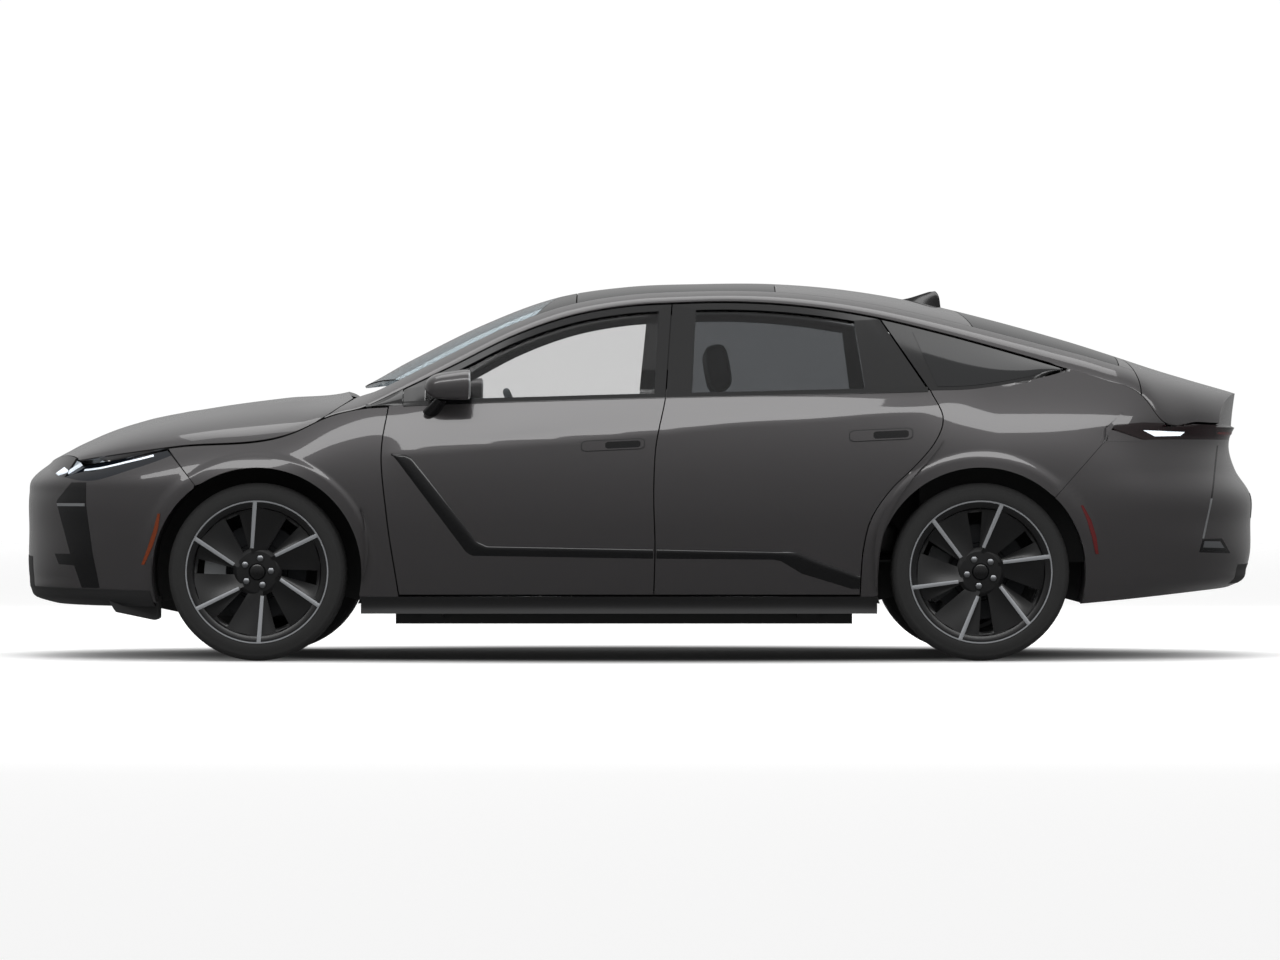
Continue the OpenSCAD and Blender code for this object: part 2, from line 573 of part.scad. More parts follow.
// A four-sided mark on a bumper, its corners [w, z] in turn from below; w runs the way the bumper's columns do
module end_mark(surf, c, out, in, shift, n) {
    grid = [for (v = spread(0, 1, n)) [for (u = spread(0, 1, n)) mix(mix(c[0], c[1], u), mix(c[3], c[2],
        u), v)]];
    function away(w) = [-shift * (1 - w * w), w, 0];
    shell(
        [for (r = grid) [for (q = r) surf(high(q[1]), q[0]) + out * away(q[0])]],
        [for (r = grid) [for (q = r) surf(high(q[1]), q[0]) - in * away(q[0])]]);
}
// Slim side marker lamps that follow the wheel arches
marker_w = 20;
marker_out = 3;
marker_front = [[-2028, 397], [-1998, 468], [-1974, 540], [-1960, 607]];
marker_rear = [[1862, 441], [1850, 510], [1829, 580], [1799, 641]];
module marker(path) {
    side_mark([for (q = lay_z(path)) [q - [marker_w / 2, 0], q + [marker_w / 2, 0]]], marker_out, sink);
}
// Front: upright corner intakes parted by a blade, with a cross slot, a low middle intake with slats, and deflectors ahead of the wheels
intake_in = 18;
corner_intake = [[0.686, 299], [0.77, 299], [0.70, 635], [0.51, 635]];
upper_intake = [[0.51, 649], [0.697, 649], [0.65, 722], [0.56, 722]];
corner_slot = [[0.53, 398], [0.68, 398], [0.68, 439], [0.53, 439]];
slat_z = [300, 345, 390];
slat_h = 28;
deflector = lay_z([[-2184, 262], [-2150, 200], [-1985, 165], [-1973, 175], [-1973, 262]]);
deflector_y = [wide(640), wide(790)];
module front_bumper() {
    surf = function (z, w) nose(z, w);
    color(paint) difference() {
        union() {
            wrap(surf, nose_low, nose_top, spread(-1, 1, 28), 8, bumper_t, 1);
            both() marker(marker_front);
            both() translate([0, deflector_y[1], 0]) rotate([90, 0, 0])
                linear_extrude(deflector_y[1] - deflector_y[0]) polygon(deflector);
        }
        both() {
            for (c = [corner_intake, upper_intake]) end_mark(surf, c, intake_in, intake_in, 1, 4);
            end_mark(surf, corner_slot, intake_in, intake_in / 2, 1, 2);
        }
        for (z = slat_z)
            end_mark(surf, [[-0.34, z], [0.34, z], [0.34, z + slat_h], [-0.34, z + slat_h]], intake_in,
                intake_in, 1, 6);
    }
}
// Rear: slanted corner grooves that end in reflector pockets, and a shallow diffuser field
corner_groove = [[0.585, 498], [0.56, 498], [0.345, 890], [0.365, 890]];
reflector = [[0.61, 436], [0.395, 438], [0.42, 503], [0.59, 500]];
diffuser = [[0.45, 315], [-0.45, 315], [-0.40, 395], [0.40, 395]];
module rear_bumper() {
    surf = function (z, w) tail(z, w);
    color(paint) difference() {
        union() {
            wrap(surf, tail_low, tail_top, spread(1, -1, 26), 8, bumper_t, -1);
            both() marker(marker_rear);
        }
        both() {
            end_mark(surf, corner_groove, intake_in, groove, -1, 4);
            end_mark(surf, reflector, intake_in, intake_in / 2, -1, 3);
        }
        end_mark(surf, diffuser, intake_in, intake_in / 2, -1, 8);
    }
}
function raise(p, d) = [for (q = p) [q[0], q[1] + d]];
lamp_top = [[0.5, high(781)], [0.56, high(794)], [0.68, high(812)], [0.84, high(838)], [1, high(866)]];
module headlamp() {
    wrap(function (z, w) nose(z, w), raise(nose_top, 3 * seat), lamp_top, [for (i = [0 : 7]) i / 14 - 1],
        3, bumper_t, 1);
}
module headlamps() color([0.75, 0.8, 0.85]) both() headlamp();
module tail_lamps() {
    color("#6d1216") wrap(function (z, w) tail(z, w), raise(tail_top, seat), [[0, high(966)], [1, high(966)]],
        spread(1, -1, 26), 2, 40, -1);
}

// Sills under the doors
sill_low = high(195);
module sill() {
    low = [for (x = spread(front_x + arch_r * 0.99, rear_x - arch_r * 0.99, 8)) [x, sill_low]];
    top = [for (x = spread(front_x + arch_r * 0.99, rear_x - arch_r * 0.99, 8)) [x, sill_top]];
    grid = rows(low, top, 2);
    outer = [for (r = grid) [for (p = r) side(p)]];
    shell(outer, [for (r = outer) [for (p = r) [p[0], cabin_y + seat, p[2]]]]);
}
module sills() color(black) both() sill();

// Posts stand on the floor inside the doors and carry the hinges
post_w = 150;
post_t = 60;
post_in = 148;
function post_levels() = [floor_top + seat, hinge_low - leaf_h, hinge_low, high(640), hinge_high - leaf_h,
    hinge_high];
module post(x0, levels) {
    grid = [for (z = levels) [for (x = [x0, x0 + post_w / 2, x0 + post_w]) [x + max(z - high(1100),
        0) * 0.1, z]]];
    function inset(z) = z > high(1150) ? frame_t + 28 : post_in;
    outer = [for (r = grid) [for (p = r) side(p) - [0, inset(p[1]), 0]]];
    shell(outer, [for (r = outer) [for (p = r) p - [0, post_t, 0]]]);
}
module b_pillar() {
    post(middle_x(high(600), -post_w / 2 + 14), concat(post_levels(), [high(900), high(1120), high(1200),
        high(1320),
        high(1448)]));
}
module a_post() {
    post(hinge_x(front_cut) - post_w + 50, concat(post_levels(), [high(860), high(990)]));
}
module b_pillars() color(black) both() b_pillar();

// Floor, battery and bulkheads
floor_t = 16;
floor_top = door_low + 10;
floor_low = floor_top - floor_t;
floor_front = front_x + arch_r + 20;
floor_rear = rear_x - arch_r - 10;
cabin_y = wide(770);
jack_l = 90;
jack_w = 60;
jack_z = 172;
beam_w = 40;
jack_y = cabin_y - jack_w - 20;
jack_x = [floor_front + 260, floor_rear - 260];
// The floor plate with four jacking pads along its edges
module floor_pan() {
    color("#3a3c3f") {
        translate([floor_front, -cabin_y, floor_low]) cube([floor_rear - floor_front, 2 * cabin_y, floor_t]);
        both() translate([floor_front, cabin_y - beam_w, sill_low + 10])
            cube([floor_rear - floor_front, beam_w, floor_low - sill_low - 10]);
        both() for (x = jack_x) translate([x - jack_l / 2, jack_y, jack_z]) cube([jack_l, jack_w,
            floor_low - jack_z]);
    }
}
pack_h = 118;
pack_y = wide(690);
module battery_pack() {
    color("#55585c") translate([floor_front + 110, -pack_y, floor_low - pack_h])
        cube([floor_rear - floor_front - 190, 2 * pack_y, pack_h]);
}
unit_y = 250;
module drive_units() {
    color("#8b8e92") {
        translate([front_x - 170, -unit_y, beam_top + seat]) cube([330, 2 * unit_y, 300]);
        translate([rear_x - 170, -unit_y, beam_top + seat]) cube([330, 2 * unit_y,
            tub_z - beam_top - 2 * seat]);
    }
}
well_t = 8;
well_y = 470;
arm_gap = 105;
cowl_z = high(1000);
cowl_depth = 34;
shelf_y = wide(610);
rib_y = wide(200);
module bulkhead() {
    color("#2c2e31") {
        translate([floor_front - well_t, -cabin_y + 60, floor_low]) cube([well_t, 2 * cabin_y - 120,
            cowl_z - floor_low]);
        both() difference() {
            translate([sta(-2120), well_y, floor_low]) cube([floor_front - well_t - sta(-2120), well_t,
                high(560)]);
            translate([front_x - arm_gap, well_y - 1, up_arm_z - 40]) cube([2 * arm_gap, well_t + 2, 80]);
        }
        both() a_post();
        translate([hood_rear - 10, -shelf_y, cowl_z - well_t]) cube([floor_front - hood_rear + 10,
            2 * shelf_y, well_t]);
        over_panel([for (x = spread(hood_rear - 10, screen_low - 10, 2)) [for (s = spread(-0.55, 0.55, 8))
            [x + 80 * s * s, s]]], 12, cowl_depth);
        for (y = [-rib_y, rib_y]) translate([screen_low - 40, y - 10, cowl_z - 1])
            cube([20, 20, over([screen_low - 30, y / through(edge_plan,
                screen_low - 30)])[2] - cowl_depth - 5 - cowl_z]);
    }
}
tub_z = high(405);
parcel_z = high(1110);
parcel_y = wide(520);
tub_y = wide(675);
module trunk_tub() {
    color("#2c2e31") {
        translate([floor_rear, -tub_y, tub_z]) cube([sta(2280) - floor_rear, 2 * tub_y, well_t]);
        translate([floor_rear, -tub_y, floor_low]) cube([well_t, 2 * tub_y, tub_z - floor_low]);
        both() translate([sta(1150), tub_y - well_t, tub_z]) cube([sta(2260) - sta(1150), well_t, high(430)]);
        translate([sta(1380), -tub_y, tub_z]) cube([well_t, 2 * tub_y, high(560)]);
        translate([sta(1380), -parcel_y, tub_z]) cube([well_t, 2 * parcel_y, parcel_z - tub_z]);
        translate([sta(1380), -parcel_y, parcel_z - well_t]) cube([lid_pin[0] + 20 - sta(1380),
            2 * parcel_y, well_t]);
    }
}

// Axles: subframe, arms and knuckles; the knuckle's spindle carries the wheel's bore
spindle_d = 56;
king_in = 84;
king_y = wheel_y - king_in;
king_d = 26;
arm_r = 17;
low_arm_z = 205;
beam_top = low_arm_z + 22;
up_arm_z = 535;
beam_y = 330;
module bar(a, b, r) {
    d = b - a;
    translate(a) rotate([0, acos(d[2] / norm(d)), atan2(d[1], d[0])]) cylinder(r = r, h = norm(d));
}
// An arm of two legs that meets a bored eye round the king pin
module wishbone(x, z, spread_x) {
    difference() {
        union() {
            for (s = [-1, 1]) bar([x + s * spread_x, beam_y - 8, z], [x, king_y, z], arm_r - 2);
            translate([x, king_y, z - arm_r]) cylinder(d = king_d + 26, h = 2 * arm_r);
        }
        translate([x, king_y, z - arm_r - 1]) cylinder(d = king_d + 2 * run, h = 2 * arm_r + 2);
    }
}
module axle_beam(x) {
    translate([x - 190, -beam_y, beam_top - 54]) cube([380, 2 * beam_y, 54]);
}
module front_axle() {
    color("#4a4d50") {
        axle_beam(front_x);
        both() {
            wishbone(front_x, low_arm_z, 140);
            wishbone(front_x, up_arm_z, 110);
        }
        both() translate([front_x - 150, beam_y, up_arm_z - 30]) cube([300, well_y - beam_y - seat, 60]);
    }
}
module knuckle_body() {
    difference() {
        union() {
            translate([front_x, king_y, low_arm_z - arm_r - 12]) cylinder(d = king_d, h =
                up_arm_z - low_arm_z + 2 * arm_r + 24);
            translate([front_x, king_y, low_arm_z + arm_r + run]) cylinder(d = king_d + 22, h =
                up_arm_z - low_arm_z - 2 * arm_r - 2 * run);
            translate([front_x, king_y - 30, wheel_z]) rotate([-90, 0, 0]) cylinder(d = 120, h = king_in - 8);
            translate([front_x, king_y, wheel_z]) rotate([-90, 0, 0]) cylinder(d = spindle_d, h = king_in + 40);
        }
    }
}
disc_d = 390;
disc_t = 30;
disc_in = 30;
caliper_gap = 6;
// Caliper: a yoke over the front edge of the disc
module caliper(x) {
    r0 = disc_d / 2 - 62;
    r1 = disc_d / 2 + 26;
    depth = disc_t + 2 * caliper_gap + 44;
    translate([x, wheel_y - disc_in, wheel_z]) rotate([-90, 0, 0]) difference() {
        translate([0, 0, -depth / 2]) rotate(145) rotate_extrude(angle = 64) translate([r0, 0])
            square([r1 - r0, depth]);
        translate([0, 0, -disc_t / 2 - caliper_gap]) cylinder(d = disc_d + 12, h = disc_t + 2 * caliper_gap);
    }
}
// Bracket between knuckle and caliper, inboard of the disc
module caliper_arm(x) {
    y1 = wheel_y - disc_in - disc_t / 2 - caliper_gap - 22 - seat;
    translate([x - disc_d / 2 + 20, y1 - 16, wheel_z - 36]) cube([disc_d / 2 - 20, 16, 72]);
}
module knuckle() {
    color("#9a9da1") {
        difference() {
            union() {
                knuckle_body();
                caliper_arm(front_x);
            }
        }
        caliper(front_x);
    }
}
module knuckle_left() on_side(-1) knuckle();
module knuckle_right() on_side(1) knuckle();
module rear_axle() {
    color("#4a4d50") {
        axle_beam(rear_x);
        both() {
            translate([rear_x, king_y - 30, wheel_z]) rotate([-90, 0, 0]) cylinder(d = 120, h = king_in - 8);
            translate([rear_x, king_y, wheel_z]) rotate([-90, 0, 0]) cylinder(d = spindle_d, h = king_in + 40);
            for (s = [-1, 1]) bar([rear_x + s * 130, beam_y - 8, low_arm_z], [rear_x + s * 30, king_y - 6,
                wheel_z - 30], arm_r);
            bar([rear_x, beam_y - 80, wheel_z], [rear_x, king_y - 8, wheel_z], 20);
            caliper_arm(rear_x);
        }
        both() caliper(rear_x);
    }
}

// Wheel: barrel, dished face, hub and brake disc
rim_w = tyre_w - 10;
rim_r = rim_d / 2;
barrel_t = 9;
hub_r = 78;
lug_circle = 114.3;
module wheel_profile() {
    half = rim_w / 2;
    polygon([
        [spindle_d / 2 + run, -36], [hub_r, -36], [hub_r, half - 62], [rim_r - 70, half - 34],
        [rim_r - barrel_t - 8, half - 30], [rim_r - barrel_t - 8, -half + 14], [rim_r - barrel_t + 4, -half],
        [rim_r + 12, -half], [rim_r + 12, -half + 8], [rim_r, -half + 14], [rim_r, half - 14], [rim_r + 12,
            half - 8],
        [rim_r + 12, half], [rim_r - 10, half], [rim_r - 22, half - 8], [rim_r - 70, half - 8], [hub_r,
            half - 30],
        [spindle_d / 2 + run + 30, half - 34], [spindle_d / 2 + run, half - 34]]);
}
// Six sails: an opening beside each slanted turned edge; the first edge stands at the angle turn, seen from outside
edge_w = 10;
edge_h = 26;
edge_tilt = 7;
edge_slant = 15;
opening_back = 25;
module turned_edge() {
    from = [(hub_r + 9) * cos(edge_slant), -(hub_r + 9) * sin(edge_slant)];
    to = [rim_r - 12, 0];
    run_to = to - from;
    translate([from[0], from[1], rim_w / 2 - 52]) rotate(atan2(run_to[1], run_to[0])) rotate([0, -edge_tilt, 0])
        translate([0, -edge_w / 2, 0]) cube([norm(run_to), edge_w, edge_h]);
}
module wheel_opening() {
    r0 = hub_r + 30;
    r1 = rim_r - 44;
    polygon([[r0, -14], [r1, -23], [r1 + 4, 23], [r0, 14]]);
}
module wheel_solid(turn) {
    rotate([-90, 0, 0]) {
        difference() {
            union() {
                rotate_extrude() wheel_profile();
                for (i = [0 : 5]) rotate(60 * i - turn) turned_edge();
            }
            for (i = [0 : 5]) rotate(60 * i - turn - opening_back) linear_extrude(rim_w) wheel_opening();
            for (i = [0 : 4]) rotate(72 * i - turn) translate([lug_circle / 2, 0, rim_w / 2 - 50])
                cylinder(d = 24, h = 60);
        }
        translate([0, 0, -disc_in - disc_t / 2]) difference() {
            cylinder(d = disc_d, h = disc_t);
            translate([0, 0, -1]) cylinder(r = hub_r + seat, h = disc_t + 2);
        }
    }
}
front_turn = 91.7;
rear_turn = 73;
module wheel(x, hand) {
    color("#1d1e20") on_side(hand) translate([x, wheel_y, wheel_z]) wheel_solid(x < 0 ? front_turn : rear_turn);
}
module tyre(x, hand) {
    half = tyre_w / 2;
    bead = rim_w / 2 - 14 - seat;
    color("#141414") on_side(hand) translate([x, wheel_y, wheel_z]) rotate([-90, 0, 0]) rotate_extrude()
        polygon([
        [rim_r + seat, -bead], [rim_r + 12 + seat, -bead - 5], [rim_r + 13, -bead - 9], [rim_r + 24, -half + 3],
        [rim_r + 42, -half], [wheel_r - 34, -half + 2],
        [wheel_r - 10, -half + 14], [wheel_r - 2, -half + 34], [wheel_r, 0], [wheel_r - 2, half - 34],
        [wheel_r - 10, half - 14], [wheel_r - 34, half - 2], [rim_r + 42, half], [rim_r + 24, half - 3],
        [rim_r + 13, bead + 9], [rim_r + 12 + seat, bead + 5], [rim_r + seat, bead]]);
}
module wheel_front_left() wheel(front_x, -1);
module wheel_front_right() wheel(front_x, 1);
module wheel_rear_left() wheel(rear_x, -1);
module wheel_rear_right() wheel(rear_x, 1);
module tyre_front_left() tyre(front_x, -1);
module tyre_front_right() tyre(front_x, 1);
module tyre_rear_left() tyre(rear_x, -1);
module tyre_rear_right() tyre(rear_x, 1);

// Hood and trunk lid with their hinge arms
hood_pin = [sta(-1196), high(1062)];
hood_pin_y = wide(560);
lid_pin = [sta(2040), high(1194)];
lid_pin_y = wide(480);
arm_w = 26;
module lid_arm(pin, y, len_x) {
    translate([pin[0], y - arm_w / 2, pin[1]]) rotate([-90, 0, 0]) difference() {
        union() {
            cylinder(r = leaf_r, h = arm_w);
            translate([min(0, len_x), -leaf_r, 0]) cube([abs(len_x), leaf_r, arm_w]);
        }
        translate([0, 0, -1]) cylinder(d = pin_d + 2 * run, h = arm_w + 2);
    }
}
// Riser from a hinge arm's end into the skin above it
module arm_post(pin, y, len_x) {
    x = pin[0] + len_x;
    top = over([x, y / through(edge_plan, x)])[2] - skin_t / 2;
    translate([x - arm_w / 2, y - arm_w / 2, pin[1]]) cube([arm_w, arm_w, top - pin[1]]);
}
module hood() {
    color(paint) {
        hood_skin();
        both() {
            lid_arm(hood_pin, hood_pin_y, -120);
            arm_post(hood_pin, hood_pin_y, -120);
        }
    }
}
module trunk_lid() {
    color(paint) {
        lid_skin();
        both() {
            lid_arm(lid_pin, lid_pin_y, 120);
            arm_post(lid_pin, lid_pin_y, 120);
        }
    }
}
module lid_pin_solid(pin, y, foot) {
    translate([pin[0], y - arm_w / 2 - 14, pin[1]]) rotate([-90, 0, 0]) cylinder(d = pin_d, h = arm_w + 28);
    translate([pin[0] - 10, y + arm_w / 2 + run, foot + seat]) cube([20, 14,
        pin[1] + leaf_r - 2 - foot - seat]);
}
module hinge_pins() {
    color("#84878b") both() {
        door_pin(front_cut);
        door_pin(middle_cut);
        lid_pin_solid(hood_pin, hood_pin_y, cowl_z);
        lid_pin_solid(lid_pin, lid_pin_y, parcel_z);
    }
}

// Cabin: dashboard, steering wheel and seats
dash_x = sta(-640);
dash_z = high(1010);
column_d = 46;
wheel_at = [dash_x + 150, -wide(370), dash_z - 60];
column_tilt = 68;
module dashboard() {
    color("#2a2b2d") {
        difference() {
            translate([0, cabin_y - 75, 0]) rotate([90, 0, 0]) linear_extrude(2 * cabin_y - 150) polygon([
                [floor_front + 40, dash_z - 50], [dash_x - 180, dash_z], [dash_x, dash_z - 40],
                    [dash_x + 30, dash_z - 120],
                [dash_x - 60, dash_z - 260], [dash_x - 190, dash_z - 430], [floor_front + 40, dash_z - 430]]);
            translate(wheel_at) rotate([0, column_tilt, 0]) translate([0, 0, -400]) cylinder(d =
                column_d + 2 * run, h = 600);
        }
        translate([dash_x - 260, -110, floor_top + seat]) cube([1000, 220, 300]);
    }
}
module steering_wheel() {
    color("#222325") translate(wheel_at) rotate([0, column_tilt, 0]) {
        rotate_extrude() translate([178, 0]) circle(r = 15);
        translate([0, 0, -330]) cylinder(d = column_d, h = 330);
        translate([0, 0, -20]) cylinder(r = 62, h = 26);
        for (a = [90, 200, 340]) rotate(a) translate([50, -18, -8]) cube([122, 36, 12]);
    }
}
// Seats: cushion and back in one, raised bolsters at both sides, and a narrower head rest
bolster_w = 70;
bolster_up = 22;
head_w = 0.52;
seat_x = sta(-330);
bench_x = sta(560);
bench_w = 2 * wide(640);
module seat_solid(x, y, w) {
    translate([x, y, floor_top + seat]) rotate([90, 0, 0]) {
        linear_extrude(w, center = true) polygon([
            [0, 130], [-18, 190], [-14, 250], [30, 298], [120, 306], [430, 264], [470, 400], [560, 690],
                [590, 780],
            [640, 800], [690, 770], [680, 700], [540, 200], [480, 0], [60, 0]]);
        for (s = [-1, 1]) translate([0, 0, s * (w - bolster_w) / 2]) linear_extrude(bolster_w, center =
            true) polygon([
            [60, 250], [110, 300 + bolster_up / 2], [200, 296 + bolster_up], [430 - bolster_up,
                272 + bolster_up],
            [450 - bolster_up, 420], [500, 610], [580, 720], [640, 700], [500, 220]]);
        linear_extrude(w * head_w, center = true) polygon([
            [604, 770], [584, 860], [580, 930], [604, 990], [650, 1000], [684, 960], [690, 880], [676, 770]]);
    }
}
module front_seats() color("#c9c4bb") for (s = [-1, 1]) seat_solid(seat_x, s * wide(370), 500);
module rear_bench() {
    color("#c9c4bb") translate([bench_x, 0, floor_top + seat]) rotate([90, 0, 0]) {
        linear_extrude(bench_w, center = true) polygon([
            [0, 0], [-22, 200], [-16, 296], [40, 338], [140, 334], [430, 296], [640, 790], [690, 826],
                [745, 836],
            [776, 800], [770, 750], [560, 180], [340, 130], [330, 0]]);
        for (y = [-0.6, 0, 0.6]) translate([0, 0, y * bench_w / 2]) linear_extrude(bench_w / 6, center =
            true) polygon([
            [676, 800], [668, 860], [690, 902], [730, 906], [756, 870], [750, 800]]);
    }
}
module mirror_solid() {
    c = [sta(-785), wide(985), high(1128)];
    color(paint) hull() for (d = [[-70, -60, 30], [-75, 66, 18], [70, -70, 52], [75, 66, 40], [72, -70,
        -44], [75, 62, -30], [-60, -50, -40]])
        translate(c + d) sphere(r = 14, $fn = 12);
    color(black) hull() {
        translate(c + [-40, -75, -63]) sphere(r = 10, $fn = 12);
        translate(c + [10, -50, -52]) sphere(r = 6, $fn = 12);
        translate([sta(-850), side_y(sta(-850), high(1030)) + 11.3, high(1032)]) sphere(r = 11, $fn = 12);
    }
}
module mirror_left() on_side(-1) mirror_solid();
module mirror_right() on_side(1) mirror_solid();

floor_pan();
sills();
battery_pack();
drive_units();
front_axle();
rear_axle();
bulkhead();
trunk_tub();
fender_left();
fender_right();
rail_left();
rail_right();
b_pillars();
quarter_left();
quarter_right();
roof_panel();
roof_glass();
windshield();
rear_window();
quarter_glass();
front_bumper();
headlamps();
rear_bumper();
tail_lamps();
dashboard();
front_seats();
rear_bench();
hinge_pins();
knuckle_left();
knuckle_right();
wheel_front_left();
wheel_front_right();
wheel_rear_left();
wheel_rear_right();
tyre_front_left();
tyre_front_right();
tyre_rear_left();
tyre_rear_right();
door_front_left();
door_front_right();
door_rear_left();
door_rear_right();
glass_front_left();
glass_front_right();
glass_rear_left();
glass_rear_right();
mirror_left();
mirror_right();
hood();
trunk_lid();
steering_wheel();
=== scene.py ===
"""Looks of the large electric sedan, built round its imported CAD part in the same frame.

Nose towards -X, left side at -Y, standing on Z = 0. Surfaces are laid out in millimetres and stored in metres.
"""

import json
import logging
import math
from dataclasses import dataclass, field
from enum import Enum
from typing import Callable, Sequence

import bmesh
import bpy
import numpy as np
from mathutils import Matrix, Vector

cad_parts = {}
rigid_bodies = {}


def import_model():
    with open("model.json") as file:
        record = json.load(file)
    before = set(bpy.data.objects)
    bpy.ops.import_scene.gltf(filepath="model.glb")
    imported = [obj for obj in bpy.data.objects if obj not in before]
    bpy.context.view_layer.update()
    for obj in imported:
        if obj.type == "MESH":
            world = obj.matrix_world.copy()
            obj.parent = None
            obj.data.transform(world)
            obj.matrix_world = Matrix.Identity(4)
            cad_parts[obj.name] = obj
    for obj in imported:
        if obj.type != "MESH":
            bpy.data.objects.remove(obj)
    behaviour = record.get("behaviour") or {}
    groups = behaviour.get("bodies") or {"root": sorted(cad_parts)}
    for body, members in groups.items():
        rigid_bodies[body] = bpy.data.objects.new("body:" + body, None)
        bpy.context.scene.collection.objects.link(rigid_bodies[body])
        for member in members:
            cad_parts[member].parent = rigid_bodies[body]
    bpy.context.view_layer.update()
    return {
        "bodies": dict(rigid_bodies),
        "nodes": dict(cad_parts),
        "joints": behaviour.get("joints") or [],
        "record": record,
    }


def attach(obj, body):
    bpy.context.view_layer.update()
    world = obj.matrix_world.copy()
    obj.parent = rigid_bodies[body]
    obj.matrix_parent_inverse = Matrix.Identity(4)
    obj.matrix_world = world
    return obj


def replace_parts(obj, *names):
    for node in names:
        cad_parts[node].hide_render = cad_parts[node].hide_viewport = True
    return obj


LOG = logging.getLogger("sedan")
MM = 0.001
HIGH = 1563.0 / 1576.0                 # built height over the base body's height
MIDDLE = np.array([0.0, 0.0, 650.0])   # point inside the car that outer faces look away from
Points = Sequence[Sequence[float]]
Obj = bpy.types.Object


class Side(Enum):
    """Hand of the car: the sign of Y on that side."""

    LEFT = -1
    RIGHT = 1

    @property
    def word(self) -> str:
        """Returns: the side's name as CAD node names end."""
        return self.name.lower()


class Axle(Enum):
    """Axles: X of the wheel centres in millimetres."""

    FRONT = -1561
    REAR = 1389

    @property
    def word(self) -> str:
        """Returns: the axle's name as CAD node names hold it."""
        return self.name.lower()


# Curves

@dataclass(frozen=True)
class Curve:
    """Smooth curve through points: cubic pieces with the slope of the parabola at each point.

    Attributes:
        points: (key, value) pairs, keys rising.
        key_gain: factor on the keys.
        gain: factor on the values.
    """

    points: tuple[tuple[float, float], ...]
    key_gain: float = 1.0
    gain: float = 1.0

    def __call__(self, at: np.ndarray | float) -> np.ndarray:
        """Value of the curve, carried on straight past its ends.

        Args:
            at: keys.
        Returns: the values, one for each key.
        """
        x = np.asarray(at, float)
        px, py = (np.asarray(self.points, float) * (self.key_gain, self.gain)).T
        h = np.diff(px)
        g = np.diff(py) / h
        inner = (g[:-1] * h[1:] + g[1:] * h[:-1]) / (h[:-1] + h[1:])
        m = np.concatenate([g[:1], inner, g[-1:]])
        xc = np.clip(x, px[0], px[-1])
        i = np.clip(np.searchsorted(px, xc, side="right") - 1, 0, len(h) - 1)
        t = (xc - px[i]) / h[i]
        cubic = ((2 * t**3 - 3 * t**2 + 1) * py[i] + (t**3 - 2 * t**2 + t) * h[i] * m[i]
                 + (3 * t**2 - 2 * t**3) * py[i + 1] + (t**3 - t**2) * h[i] * m[i + 1])
        return cubic + m[0] * np.minimum(x - px[0], 0) + m[-1] * np.maximum(x - px[-1], 0)


def high_keys(*points: tuple[float, float]) -> Curve:
    """Curve over height.

    Args:
        points: (height, value) pairs on the base body.
    Returns: the curve with its heights carried to the built car.
    """
    return Curve(points, key_gain=HIGH)


def high_values(*points: tuple[float, float]) -> Curve:
    """Curve of heights.

    Args:
        points: (key, height) pairs on the base body.
    Returns: the curve with its heights carried to the built car.
    """
    return Curve(points, gain=HIGH)


def level(z: float) -> Curve:
    """Height that is the same everywhere.

    Args:
        z: the height on the base body.
    Returns: the curve.
    """
    return high_values((0, z), (1, z))


def mix(a: np.ndarray | float, b: np.ndarray | float, t: np.ndarray | float) -> np.ndarray:
    """Straight blend.

    Args:
        a: value at t 0.
        b: value at t 1.
        t: blend.
    Returns: a at 0, b at 1.
    """
    return a + (np.asarray(b) - a) * t


def step(a: float, b: float, x: np.ndarray) -> np.ndarray:
    """Smooth step from 0 at a to 1 at b.

    Args:
        a: where the step starts.
        b: where it ends.
        x: places.
    Returns: the step's height at each place.
    """
    t = np.clip((x - a) / (b - a), 0, 1)
    return t * t * (3 - 2 * t)


def resample(points: Points, n: int) -> np.ndarray:
    """Evenly spaced points along a polyline.

    Args:
        points: the polyline.
        n: number of points wanted.
    Returns: n points, the ends kept.
    """
    p = np.asarray(points, float)
    run = np.concatenate([[0], np.cumsum(np.linalg.norm(np.diff(p, axis=0), axis=1))])
    at = np.linspace(0, run[-1], n)
    return np.stack([np.interp(at, run, p[:, k]) for k in range(p.shape[1])], 1)


